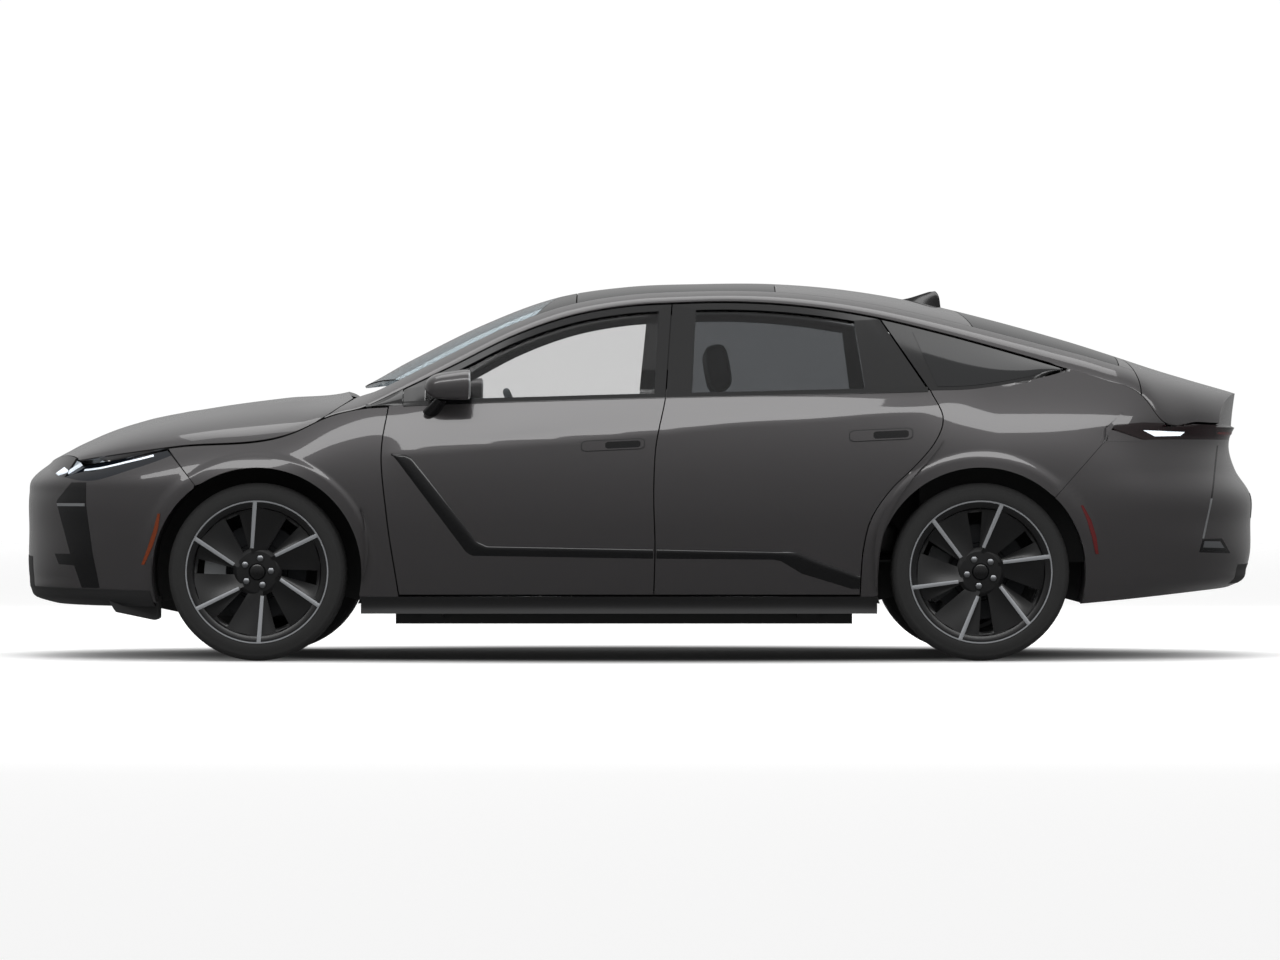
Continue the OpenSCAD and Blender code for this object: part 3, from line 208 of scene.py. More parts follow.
@dataclass(frozen=True)
class BodyShape:
    """The styling surfaces: body side, upper surface, nose and tail, as in the CAD part, in millimetres."""

    crown: Curve = high_values(
        (-2470, 822), (-2385, 866), (-2182, 959), (-1979, 1018), (-1776, 1056), (-1472, 1098), (-1200, 1126),
        (-964, 1251), (-660, 1403), (-355, 1517), (-51, 1564), (254, 1576), (558, 1576), (863, 1551),
        (1168, 1499), (1472, 1424), (1776, 1335), (2081, 1234), (2385, 1145), (2516, 1112))
    edge: Curve = high_values(
        (-2470, 800), (-2320, 824), (-1898, 882), (-1415, 940), (-1263, 1010), (-1130, 1046), (-985, 1114),
        (-773, 1217), (-517, 1345), (-290, 1425), (-54, 1468), (165, 1481), (379, 1485), (662, 1468),
        (946, 1425), (1230, 1357), (1483, 1287), (1730, 1213), (1900, 1160), (2060, 1090), (2136, 992),
        (2300, 984), (2516, 978))
    edge_plan: Curve = Curve((
        (-2470, 560), (-2400, 655), (-2320, 735), (-2150, 815), (-1898, 868), (-1415, 892), (-1263, 878),
        (-1130, 862), (-985, 826), (-773, 782), (-517, 735), (-290, 706), (-54, 690), (165, 682), (379, 680),
        (662, 684), (946, 694), (1230, 712), (1483, 732), (1730, 766), (1900, 806), (1950, 814), (2000, 810),
        (2060, 806), (2136, 802), (2200, 763), (2250, 722), (2300, 673), (2350, 612), (2397, 537), (2430, 470),
        (2470, 354), (2516, 150)))
    belt: Curve = high_values(
        (-2470, 800), (-2320, 824), (-1898, 882), (-1415, 940), (-1263, 1010), (-1130, 1042), (-1027, 1049),
        (-285, 1077), (562, 1098), (1178, 1114), (1345, 1119), (1555, 1150), (1728, 1192), (1760, 1204),
        (1800, 1192.5), (1850, 1177), (1900, 1160), (2060, 1090), (2136, 992), (2300, 984), (2516, 978))
    belt_plan: Curve = Curve((
        (-2470, 560), (-2400, 655), (-2320, 735), (-2150, 815), (-1898, 868), (-1415, 892), (-1263, 888),
        (-1027, 886), (-285, 893), (562, 893), (1178, 886), (1345, 876), (1555, 838), (1728, 774),
        (1760, 772), (1800, 782), (1850, 794), (1900, 806), (2060, 838), (2136, 842), (2300, 795), (2430, 700),
        (2516, 560)))
    waist_plan: Curve = Curve(((-1500, 958), (-900, 948), (0, 946), (800, 948), (1450, 960)))
    nose_line: Curve = high_keys(
        (225, -2440), (249, -2530), (287, -2562), (340, -2570), (540, -2572), (690, -2571), (745, -2562),
        (811, -2487), (866, -2385))
    tail_line: Curve = high_keys(
        (240, 2330), (282, 2444), (316, 2525), (375, 2554), (568, 2571), (686, 2569), (790, 2505), (925, 2484),
        (980, 2510), (1094, 2514))
    full_p: Curve = Curve((
        (-2470, 2.8), (-1500, 2.8), (-1150, 2.6), (-700, 2.4), (200, 2.6), (1500, 2.6), (2060, 3.6), (2516, 4)))
    full_q: Curve = Curve((
        (-2470, 1.5), (-1500, 1.6), (-1150, 1.3), (-700, 1.5), (200, 1.9), (1500, 1.8), (2060, 2), (2516, 2)))
    crease: Curve = high_values(
        (-1060, 845), (-1011, 849), (69, 939), (436, 979), (729, 997), (1019, 1026), (1300, 1040))
    front_cut: Curve = high_keys((268, -984), (617, -1035), (882, -1053), (1045, -1027))
    middle_cut: Curve = high_keys((268, 56), (466, 61), (705, 56), (882, 65), (1089, 105), (1480, 132))
    rear_cut: Curve = high_keys(
        (268, 898), (352, 901), (478, 913), (592, 945), (702, 1019), (820, 1137), (894, 1198), (996, 1236),
        (1115, 1185))
    seam_front: Curve = high_keys((723, -1811), (864, -1925))
    seam_rear: Curve = high_keys((670, 1686), (915, 1904))
    corner_p: float = 3.0
    corner_q: float = 2.3
    waist_z: float = 690 * HIGH
    foot_z: float = 250 * HIGH
    tuck: float = 48.0
    front_bend: float = -1500.0
    rear_bend: float = 1450.0
    wheel_r: float = 364.0
    arch_r: float = 426.0
    door_low: float = 274 * HIGH
    screen_f: float = 0.88
    flare_w: float = 46.0
    flare_out: float = 5.0
    crease_out: float = 7.0
    crease_up: float = 55.0
    crease_down: float = 120.0
    seam_gap: float = 2.5

    def flank(self, x: np.ndarray, z: np.ndarray) -> np.ndarray:
        """Half width below the belt: widest at the waist, drawn in by a power above it and a parabola below.

        Args:
            x: stations.
            z: heights.
        Returns: half widths.
        """
        w, zb, yb = self.waist_plan(x), self.belt(x), self.belt_plan(x)
        up = np.clip((z - self.waist_z) / (zb - self.waist_z), 0, None)
        down = np.clip((self.waist_z - z) / (self.waist_z - self.foot_z), 0, None)
        return w - (w - yb) * up**2.2 - self.tuck * down**2

    def corner(self, u: np.ndarray) -> np.ndarray:
        """How far a plan corner has closed in: a superellipse from 1 at the bend to 0 at the end.

        Args:
            u: way from bend to end.
        Returns: share of the width left.
        """
        return (1 - np.clip(u, 0, 1)**self.corner_p)**(1 / self.corner_q)

    def relief(self, x: np.ndarray, z: np.ndarray) -> np.ndarray:
        """Raised shoulder crease: a ridge along the crease line, steep above it and drawn out below it.

        Args:
            x: stations.
            z: heights.
        Returns: millimetres outwards.
        """
        d = z - self.crease(x)
        ridge = np.exp(-(np.abs(d) / np.where(d > 0, self.crease_up, self.crease_down))**1.1)
        return self.crease_out * ridge * step(-1080, -960, x) * (1 - step(1050, 1330, x))

    def side_y(self, x: np.ndarray, z: np.ndarray) -> np.ndarray:
        """Half width of the whole body side, glass included.

        Args:
            x: stations.
            z: heights.
        Returns: half widths.
        """
        x, z = np.broadcast_arrays(np.asarray(x, float), np.asarray(z, float))
        zb, zr = self.belt(x), self.edge(x)
        k = (z - zb) / np.maximum(zr - zb, 1)
        glass = mix(self.belt_plan(x), self.edge_plan(x), k) + 14 * np.sin(np.pi * np.clip(k, 0, 1))
        front = self.flank(np.full_like(x, self.front_bend), z) * self.corner(
            (self.front_bend - x) / (self.front_bend - self.nose_line(z)))
        rear = self.flank(np.full_like(x, self.rear_bend), z) * self.corner(
            (x - self.rear_bend) / (self.tail_line(z) - self.rear_bend))
        low = np.where(x < self.front_bend, front, np.where(x > self.rear_bend, rear, self.flank(x, z)))
        return np.where((z > zb) & (x > -1130), glass, low + self.relief(x, z))

    def side(self, x: np.ndarray, z: np.ndarray) -> np.ndarray:
        """Points of the right body side.

        Args:
            x: stations.
            z: heights.
        Returns: points, the last axis X, Y, Z.
        """
        x, z = np.broadcast_arrays(np.asarray(x, float), np.asarray(z, float))
        return self.flared(np.stack([x, self.side_y(x, z), z], -1))

    def flared(self, points: np.ndarray) -> np.ndarray:
        """Body points with the wheel arches' raised bands: a smooth step outwards within a ring round each arch.

        Args:
            points: points of the body side, the last axis X, Y, Z.
        Returns: the points, those near an arch moved outwards.
        """
        x, y, z = np.moveaxis(points, -1, 0)
        near = np.minimum(*(np.hypot(x - axle.value, z - self.wheel_r) for axle in Axle))
        out = self.flare_out * step(self.arch_r + self.flare_w + 22, self.arch_r + self.flare_w - 6, near)
        return np.stack([x, y + np.sign(y) * out, z], -1)

    def over(self, x: np.ndarray, f: np.ndarray) -> np.ndarray:
        """Points of the upper surface: a superellipse across the car between crown and edge.

        Args:
            x: stations.
            f: share of the way from the crown, at 0, to the edges, at -1 and 1.
        Returns: points, the last axis X, Y, Z.
        """
        x, f = np.broadcast_arrays(np.asarray(x, float), np.asarray(f, float))
        zr = self.edge(x)
        rise = np.clip(1 - np.abs(f)**self.full_p(x), 0, 1)**(1 / self.full_q(x))
        return np.stack([x, f * self.edge_plan(x), zr + (self.crown(x) - zr) * rise], -1)

    def bend(self, z: np.ndarray, w: np.ndarray, start: float, end: Curve, x_side: np.ndarray) -> np.ndarray:
        """Points round a plan corner: a superellipse from a side edge over the car's middle to the other.

        Args:
            z: heights.
            w: 1 at the right side edge, 0 in the middle, -1 at the left side edge.
            start: station where the corner starts.
            end: the nose or tail line.
            x_side: stations of the side edge.
        Returns: points, the last axis X, Y, Z.
        """
        reach = end(z) - start
        a0 = np.arcsin(np.clip((x_side - start) / reach, 0, 1)**(self.corner_p / 2))
        a = mix(a0, np.pi / 2, 1 - np.abs(w))
        y = np.sign(w) * self.flank(np.full_like(z, start), z) * np.clip(np.cos(a), 0, 1)**(2 / self.corner_q)
        return np.stack([start + reach * np.sin(a)**(2 / self.corner_p), y, z], -1)

    def arch_x(self, centre: float, z: np.ndarray, hand: int) -> np.ndarray:
        """Station of a wheel arch's edge.

        Args:
            centre: station of the wheel.
            z: heights.
            hand: -1 ahead of the wheel, 1 behind it.
        Returns: stations.
        """
        return centre + hand * np.sqrt(np.clip(self.arch_r**2 - (z - self.wheel_r)**2, 0, None))

    def nose(self, z: np.ndarray, w: np.ndarray) -> np.ndarray:
        """Points of the front bumper's surface.

        Args:
            z: heights.
            w: 1 at the right wheel arch, 0 in the middle, -1 at the left.
        Returns: points, the last axis X, Y, Z.
        """
        z, w = np.broadcast_arrays(np.asarray(z, float), np.asarray(w, float))
        zs, xs = self.seam_front.points[0]
        edge = np.where(z < zs * HIGH, np.minimum(self.arch_x(Axle.FRONT.value, z, -1), xs), self.seam_front(z))
        return self.flared(self.bend(z, w, self.front_bend, self.nose_line, edge - self.seam_gap))

    def tail(self, z: np.ndarray, w: np.ndarray) -> np.ndarray:
        """Points of the rear bumper's surface.

        Args:
            z: heights.
            w: 1 at the right wheel arch, 0 in the middle, -1 at the left.
        Returns: points, the last axis X, Y, Z.
        """
        z, w = np.broadcast_arrays(np.asarray(z, float), np.asarray(w, float))
        zs, xs = self.seam_rear.points[0]
        edge = np.where(z < zs * HIGH, np.maximum(self.arch_x(Axle.REAR.value, z, 1), xs), self.seam_rear(z))
        return self.flared(self.bend(z, w, self.rear_bend, self.tail_line, edge + self.seam_gap))


SHAPE = BodyShape()


# Finishes

def colour(hex_code: str) -> tuple[float, float, float, float]:
    """Linear colour of an sRGB hex code.

    Args:
        hex_code: six hex digits with a leading #.
    Returns: red, green, blue, alpha for a shader socket.
    """
    c = np.array([int(hex_code[i:i + 2], 16) for i in (1, 3, 5)]) / 255
    lin = np.where(c <= 0.04045, c / 12.92, ((c + 0.055) / 1.055)**2.4)
    return (*map(float, lin), 1.0)


def add_node(tree: bpy.types.NodeTree, kind: str, settings: dict | None = None,
             links: dict | None = None) -> bpy.types.Node:
    """Adds a shader node.

    Args:
        tree: the material's node tree.
        kind: the node's type name.
        settings: values of input sockets by name, or of node properties.
        links: output sockets to link to named inputs.
    Returns: the node.
    """
    node = tree.nodes.new(kind)
    for key, value in (settings or {}).items():
        if key in node.inputs:
            node.inputs[key].default_value = value
        else:
            setattr(node, key, value)
    for key, socket in (links or {}).items():
        tree.links.new(socket, node.inputs[key])
    return node


@dataclass(frozen=True)
class Grain:
    """Fine pattern of a finish.

    Attributes:
        size: width of one speck or pebble in millimetres.
        bump: depth in millimetres.
        shade: how far the colour darkens and lightens.
        rough: how far the roughness varies.
    """

    size: float
    bump: float = 0.0
    shade: float = 0.0
    rough: float = 0.0


@dataclass(frozen=True)
class Finish:
    """A surface's look and the record's slot it belongs to.

    Attributes:
        name: what the material is.
        slot: the record's material slot; not used.
        base: sRGB hex colour.
        sockets: further inputs of the Principled shader by name.
        grain: fine pattern, if any.
    """

    name: str
    slot: str
    base: str
    sockets: tuple[tuple[str, float | tuple], ...] = ()
    grain: Grain | None = None

    def material(self) -> bpy.types.Material:
        """Builds the material once.

        Returns: the material of this name.
        """
        found = bpy.data.materials.get(self.name)
        if found:
            return found
        mat = bpy.data.materials.new(self.name)
        mat.use_nodes = True
        tree = mat.node_tree
        shader = tree.nodes["Principled BSDF"]
        shader.inputs["Base Color"].default_value = colour(self.base)
        for key, value in self.sockets:
            shader.inputs[key].default_value = value
        if self.grain:
            self._add_grain(tree, shader)
        return mat

    def _add_grain(self, tree: bpy.types.NodeTree, shader: bpy.types.Node) -> None:
        """Noise at the grain's real size on colour, roughness and bump.

        Args:
            tree: the material's node tree.
            shader: its Principled shader.
        """
        g = self.grain
        place = add_node(tree, "ShaderNodeTexCoord")
        noise = add_node(tree, "ShaderNodeTexNoise", {"Scale": 1000.0 / g.size, "Detail": 3.0},
                         {"Vector": place.outputs["Object"]})
        if g.shade:
            c = np.array(colour(self.base))
            ramp = add_node(tree, "ShaderNodeMix", {"data_type": "RGBA"})
            ramp.inputs["A"].default_value = (*(c[:3] * (1 - g.shade)), 1)
            ramp.inputs["B"].default_value = (*np.minimum(c[:3] * (1 + g.shade), 1), 1)
            tree.links.new(noise.outputs["Fac"], ramp.inputs["Factor"])
            tree.links.new(ramp.outputs["Result"], shader.inputs["Base Color"])
        if g.rough:
            r = shader.inputs["Roughness"].default_value
            span = add_node(tree, "ShaderNodeMapRange", {"To Min": max(r - g.rough, 0.02), "To Max": r + g.rough},
                            {"Value": noise.outputs["Fac"]})
            tree.links.new(span.outputs["Result"], shader.inputs["Roughness"])
        if g.bump:
            bump = add_node(tree, "ShaderNodeBump", {"Strength": 0.6, "Distance": g.bump * MM},
                            {"Height": noise.outputs["Fac"]})
            tree.links.new(bump.outputs["Normal"], shader.inputs["Normal"])


# Sockets of clear glass
SEE_THROUGH = (("Roughness", 0.0), ("Transmission Weight", 1.0))


class Look:
    """The car's finishes."""

    # Warm grey metallic under clear coat: dark where it faces the floor, pale where it faces the sky
    PAINT = Finish("grey metallic paint", "paint", "#383637", (
        ("Metallic", 0.55), ("Roughness", 0.36), ("Coat Weight", 1.0), ("Coat Roughness", 0.03)),
        Grain(0.6, shade=0.10, rough=0.03))
    # Piano black trim: deep black with sharp highlights
    BLACK = Finish("gloss black trim", "black_trim", "#080809", (("Roughness", 0.14),))
    # Moulded black plastic: dull, finely grained
    SATIN = Finish("grained black plastic", "underbody", "#141415", (("Roughness", 0.55),), Grain(1.2, bump=0.05))
    # Nearly clear side glass: pale grey with the cabin showing
    CLEAR = Finish("clear glass", "glass_clear", "#e2e2e2", (*SEE_THROUGH, ("IOR", 1.3)))
    # Windscreen: laminated glass with a faint cool tint
    SCREEN = Finish("tinted screen glass", "glass_clear", "#93a0a6", (*SEE_THROUGH, ("IOR", 1.3)))
    # Privacy glass: dark grey, the cabin just seen
    DARK = Finish("privacy glass", "glass_dark", "#8a8c8e", (*SEE_THROUGH, ("IOR", 1.35)))
    # Roof and rear glass: almost black with sky reflections
    ROOF = Finish("black roof glass", "glass_dark", "#08090b", (("Roughness", 0.06),))
    # Lamp cover: smoked lens with a cool glint
    LENS = Finish("smoked lamp lens", "lamp_front", "#0c1118", (("Roughness", 0.05),))
    # Lit lamp strips: cool white
    LIGHT = Finish("white lamp strip", "lamp_front", "#e8eef6", (
        ("Roughness", 0.2), ("Emission Color", (0.8, 0.9, 1.0, 1.0)), ("Emission Strength", 0.35)))
    # Rear lamp: deep red under a dark cover
    RED = Finish("red lamp lens", "lamp_rear", "#12080a", (("Roughness", 0.08),))
    # Rear side marker: clearer red
    MARKER = Finish("red marker lens", "lamp_rear", "#4a0f10", (("Roughness", 0.2),))
    # Front side marker: amber orange
    AMBER = Finish("amber marker lens", "lamp_front", "#5c250a", (("Roughness", 0.2),))
    # Wheel sails: gloss black
    WHEEL = Finish("gloss black wheel", "wheel", "#0a0a0b", (("Roughness", 0.28),))
    # Turned wheel edges: bright with a fine brushed sheen
    MACHINED = Finish("machined aluminium", "wheel", "#8f9194", (("Metallic", 0.6), ("Roughness", 0.42)),
                      Grain(0.8, rough=0.06))
    # Tyre rubber: dull black, a little dusty
    RUBBER = Finish("tyre rubber", "tyre", "#171717", (("Roughness", 0.82),), Grain(4.0, bump=0.08, shade=0.2))
    # Bare steel and iron of brakes and hinges
    STEEL = Finish("brushed steel", "steel", "#8f9194", (("Metallic", 1.0), ("Roughness", 0.32)),
                   Grain(1.0, rough=0.08))
    # Brake discs: dull dark iron, its colour darkened further as painted shade, dim behind the sails
    DISC = Finish("brake disc iron", "steel", "#2f3032", (("Metallic", 0.8), ("Roughness", 0.5)),
                  Grain(1.0, rough=0.08))
    # Cast suspension parts: dark rough metal
    CAST = Finish("cast iron", "cast", "#3a3b3c", (("Metallic", 0.6), ("Roughness", 0.6)), Grain(2.0, bump=0.1))
    # Caliper and housings: pale cast metal
    ALLOY = Finish("cast aluminium", "aluminium", "#9a9c9e", (("Metallic", 0.9), ("Roughness", 0.45)),
                   Grain(1.5, bump=0.05))
    # Cabin mouldings: soft dark grey
    CABIN = Finish("dark cabin moulding", "cabin_dark", "#1d1d1e", (("Roughness", 0.6),), Grain(1.0, bump=0.06))
    # Seat covers: soft black leather with fine grain
    LEATHER = Finish("black leather", "leather", "#2a2929", (("Roughness", 0.5),), Grain(1.4, bump=0.1))


# Meshes

def mirror(points: np.ndarray, side: Side) -> np.ndarray:
    """Points of the right side carried to a side.

    Args:
        points: points in millimetres, Y positive.
        side: the side wanted.
    Returns: the points with Y on that side.
    """
    return points * np.array([1, side.value, 1])


def grid_faces(n: int, m: int, wrap_rows: bool = False, wrap_columns: bool = False) -> np.ndarray:
    """Quads of a grid of n rows by m columns.

    Args:
        n: rows.
        m: columns.
        wrap_rows: the last row joins the first.
        wrap_columns: the last column joins the first.
    Returns: vertex numbers, four for each face.
    """
    i, j = np.meshgrid(np.arange(n if wrap_rows else n - 1), np.arange(m if wrap_columns else m - 1), indexing="ij")
    a, b = i * m + j, i * m + (j + 1) % m
    c, d = (i + 1) % n * m + (j + 1) % m, (i + 1) % n * m + j
    return np.stack([a, b, c, d], -1).reshape(-1, 4)


def make(name: str, points: np.ndarray, faces: np.ndarray, finish: Finish, body: str,
         sharp: float = 32.0) -> Obj:
    """Makes a piece from points and quads, faces turned outwards, and lets it ride on a CAD body.

    Args:
        name: the piece's name.
        points: points in millimetres.
        faces: vertex numbers of the quads.
        finish: its look.
        body: the CAD body it moves with.
        sharp: edges steeper than this many degrees stay crisp.
    Returns: the object, at the origin.
    """
    name = name.replace(" ", "_")
    mesh = bpy.data.meshes.new(name)
    mesh.from_pydata((points.reshape(-1, 3) * MM).tolist(), [], faces.tolist())
    mesh.validate()
    solid = bmesh.new()
    solid.from_mesh(mesh)
    bmesh.ops.recalc_face_normals(solid, faces=solid.faces)
    solid.to_mesh(mesh)
    solid.free()
    mesh.polygons.foreach_set("use_smooth", np.ones(len(mesh.polygons), bool))
    mesh.set_sharp_from_angle(angle=math.radians(sharp))
    mesh.materials.append(finish.material())
    obj = bpy.data.objects.new(name, mesh)
    bpy.context.scene.collection.objects.link(obj)
    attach(obj, body)
    LOG.info("%s: %d faces, %s on %s", name, len(faces), finish.name, body)
    return obj


def normals(grid: np.ndarray) -> np.ndarray:
    """Unit normals of a grid from the steps to its neighbours, turned away from the car's middle.

    Args:
        grid: points, rows by columns by 3.
    Returns: normals of the same shape.
    """
    n = np.cross(np.gradient(grid, axis=0), np.gradient(grid, axis=1))
    n /= np.maximum(np.linalg.norm(n, axis=-1, keepdims=True), 1e-9)
    out = grid - MIDDLE
    out[..., 0] *= 0.3
    return n * np.where((n * out).sum(-1, keepdims=True).mean() < 0, -1.0, 1.0)


def facing(grid: np.ndarray) -> bool:
    """Whether rows cross columns points away from the car's middle.

    Args:
        grid: points, rows by columns by 3.
    Returns: True if it does.
    """
    n = np.cross(np.gradient(grid, axis=0), np.gradient(grid, axis=1))
    return bool((n * normals(grid)).sum() > 0)


def shell(name: str, outer: np.ndarray, inner: np.ndarray, finish: Finish, body: str,
          sharp: float = 32.0) -> Obj:
    """Closed panel between an outer and an inner grid, joined round their rims.

    Args:
        name: the piece's name.
        outer: outer points, rows by columns by 3.
        inner: inner points of the same shape.
        finish: its look.
        body: the CAD body it moves with.
        sharp: edges steeper than this many degrees stay crisp.
    Returns: the object.
    """
    n, m = outer.shape[:2]
    at = np.arange(n * m).reshape(n, m)
    rim = np.concatenate([at[0, :-1], at[:-1, -1], at[-1, :0:-1], at[:0:-1, 0]])
    nxt = np.roll(rim, -1)
    face = grid_faces(n, m)
    wall = np.stack([rim, rim + n * m, nxt + n * m, nxt], -1)
    every = np.concatenate([face, face[:, ::-1] + n * m, wall])
    if facing(outer):
        every = every[:, ::-1]
    return make(name, np.concatenate([outer.reshape(-1, 3), inner.reshape(-1, 3)]), every, finish, body, sharp)


def panel(name: str, grid: np.ndarray, thick: float, finish: Finish, body: str, depth: float = 0.0) -> Obj:
    """Closed panel of even thickness under a surface grid.

    Args:
        name: the piece's name.
        grid: points of the styling surface.
        thick: thickness in millimetres.
        finish: its look.
        body: the CAD body it moves with.
        depth: how far the panel's outer face lies under the surface.
    Returns: the object.
    """
    n = normals(grid)
    return shell(name, grid - n * depth, grid - n * (depth + thick), finish, body)


def on_side(name: str, places: np.ndarray, side: Side, thick: float, finish: Finish, body: str = "body",
            depth: float = 0.0) -> Obj:
    """Panel on the body side over a grid of its side view.

    Args:
        name: the piece's name.
        places: (x, z) points, rows by columns by 2.
        side: which side.
        thick: thickness in millimetres.
        finish: its look.
        body: the CAD body it moves with.
        depth: how far its outer face lies under the surface.
    Returns: the object.
    """
    return panel(name, mirror(SHAPE.side(places[..., 0], places[..., 1]), side), thick, finish, body, depth)


def tube(name: str, path: np.ndarray, radius: np.ndarray | float, finish: Finish, body: str, around: int = 12,
         flat: float = 1.0, closed: bool = False) -> Obj:
    """Round or flattened bar along a path, its ends drawn in.

    Args:
        name: the piece's name.
        path: points along the bar.
        radius: half thickness in millimetres, one or one for each point.
        finish: its look.
        body: the CAD body it moves with.
        around: points round the bar.
        flat: share of the radius along the second direction.
        closed: the path is a ring.
    Returns: the object.
    """
    t = np.roll(path, -1, 0) - np.roll(path, 1, 0) if closed else np.gradient(path, axis=0)
    t /= np.linalg.norm(t, axis=1, keepdims=True)
    up = np.where(np.abs(t[:, 2:]) > 0.9, [[1.0, 0, 0]], [[0, 0, 1.0]])
    u = np.cross(t, up)
    u /= np.linalg.norm(u, axis=1, keepdims=True)
    v = np.cross(t, u)
    a = np.linspace(0, 2 * np.pi, around, endpoint=False)
    r = np.broadcast_to(np.asarray(radius, float), (len(path),)).copy()
    if not closed:
        path = np.concatenate([path[:1], path, path[-1:]])
        u, v = (np.concatenate([q[:1], q, q[-1:]]) for q in (u, v))
        r = np.concatenate([[0.01], r, [0.01]])
    ring = u[:, None] * np.cos(a)[None, :, None] + flat * v[:, None] * np.sin(a)[None, :, None]
    grid = path[:, None] + ring * r[:, None, None]
    return make(name, grid, grid_faces(len(path), around, closed, True)[:, ::-1], finish, body, 40)


def turned(name: str, profile: Points, centre: Sequence[float], hand: int, finish: Finish, body: str,
           around: int = 96) -> Obj:
    """Ring turned about a wheel's axis from a profile of radius and distance outwards.

    Args:
        name: the piece's name.
        profile: (radius, outwards) pairs in order round the section.
        centre: the axis point in millimetres.
        hand: sign of Y outwards.
        finish: its look.
        body: the CAD body it moves with.
        around: steps round the axis.
    Returns: the object.
    """
    p = np.asarray(profile, float)
    a = np.linspace(0, 2 * np.pi, around, endpoint=False)
    ring = np.stack(np.broadcast_arrays(p[None, :, 0] * np.cos(a)[:, None], hand * p[None, :, 1],
                                        p[None, :, 0] * np.sin(a)[:, None]), -1)
    faces = grid_faces(around, len(p), True, True)
    return make(name, ring + np.asarray(centre, float), faces if hand > 0 else faces[:, ::-1], finish, body, 30)


# Body panels

GAP = 2.6            # half of a shut line as it looks, in millimetres
SILL_TOP = 263.0     # top of the sills
SKIN = 16.0          # thickness of the outer panels
HOOD_FRONT = -2466   # station of the hood's front edge in the middle
HOOD_SWEEP = 165     # how far that edge runs back at the sides
HOOD_TAPER = -1320   # station behind which the hood narrows
LID_FRONT = 1990     # station of the trunk lid's front edge in the middle
LID_SWEEP = 66       # how far that edge runs back at the sides


def rows_between(low: np.ndarray, top: np.ndarray, n: int, lift: np.ndarray | None = None) -> np.ndarray:
    """Rows of (x, z) points between a lower and an upper edge.

    Each column runs straight from edge to edge. With a lift it first leaves the lower edge squarely: along the
    edge's normal, averaged over fifteen columns, it gains the lift times the column's length, the row's share and
    the cube of the rest of the way.

    Args:
        low: points of the lower edge.
        top: as many points of the upper edge.
        n: number of rows.
        lift: strength of the square start, one for each column.
    Returns: rows by columns by 2.
    """
    t = np.linspace(0, 1, n)[:, None, None]
    grid = mix(low[None], top[None], t)
    if lift is not None:
        way = np.gradient(low, axis=0)
        way = np.stack([-way[:, 1], way[:, 0]], 1) / np.linalg.norm(way, axis=1, keepdims=True)
        square = np.stack([np.convolve(np.pad(c, 7, mode="edge"), np.ones(15) / 15, "valid") for c in way.T], 1)
        reach = lift * np.linalg.norm(top - low, axis=1)
        grid = grid + t * (1 - t)**3 * (square * reach[:, None])[None]
    return grid


def eased(low: np.ndarray, top: np.ndarray, n: int, cut: Curve, gap: float, last: bool) -> np.ndarray:
    """Rows between two edges whose first or last column bends to a shut line, fading out over the columns.

    Args:
        low: points of the lower edge.
        top: as many points of the upper edge.
        n: number of rows.
        cut: station of the shut line at each height.
        gap: distance kept from it, along X.
        last: the last column lies on the shut line, and not the first.
    Returns: rows by columns by 2.
    """
    m = len(low) - 1
    e = m if last else 0
    far = np.abs(np.arange(m + 1) - e) / m
    grid = rows_between(low, top, n, 0.7 * np.clip(10 * far, 0, 1) * np.clip(1.3 - far / 0.6, 0, 1))
    k = (grid[..., 1] - low[e, 1]) / (top[e, 1] - low[e, 1])
    off = cut(grid[..., 1]) + gap - mix(low[e, 0], top[e, 0], k)
    fade = np.clip(1 - far / 0.62, 0, 1)**2
    grid[..., 0] += off * fade * mix(np.linspace(0, 1, n)[:, None], 1, np.clip(1 - far / 0.1, 0, 1))
    return grid


def arc(axle: Axle, a: float, b: float, n: int) -> list[tuple[float, float]]:
    """Points of a wheel arch's edge.

    Args:
        axle: which arch.
        a: first angle in degrees, 0 to the rear and 90 up.
        b: last angle.
        n: number of points.
    Returns: (x, z) points.
    """
    t = np.radians(np.linspace(a, b, n))
    return list(zip(axle.value + SHAPE.arch_r * np.cos(t), SHAPE.wheel_r + SHAPE.arch_r * np.sin(t)))


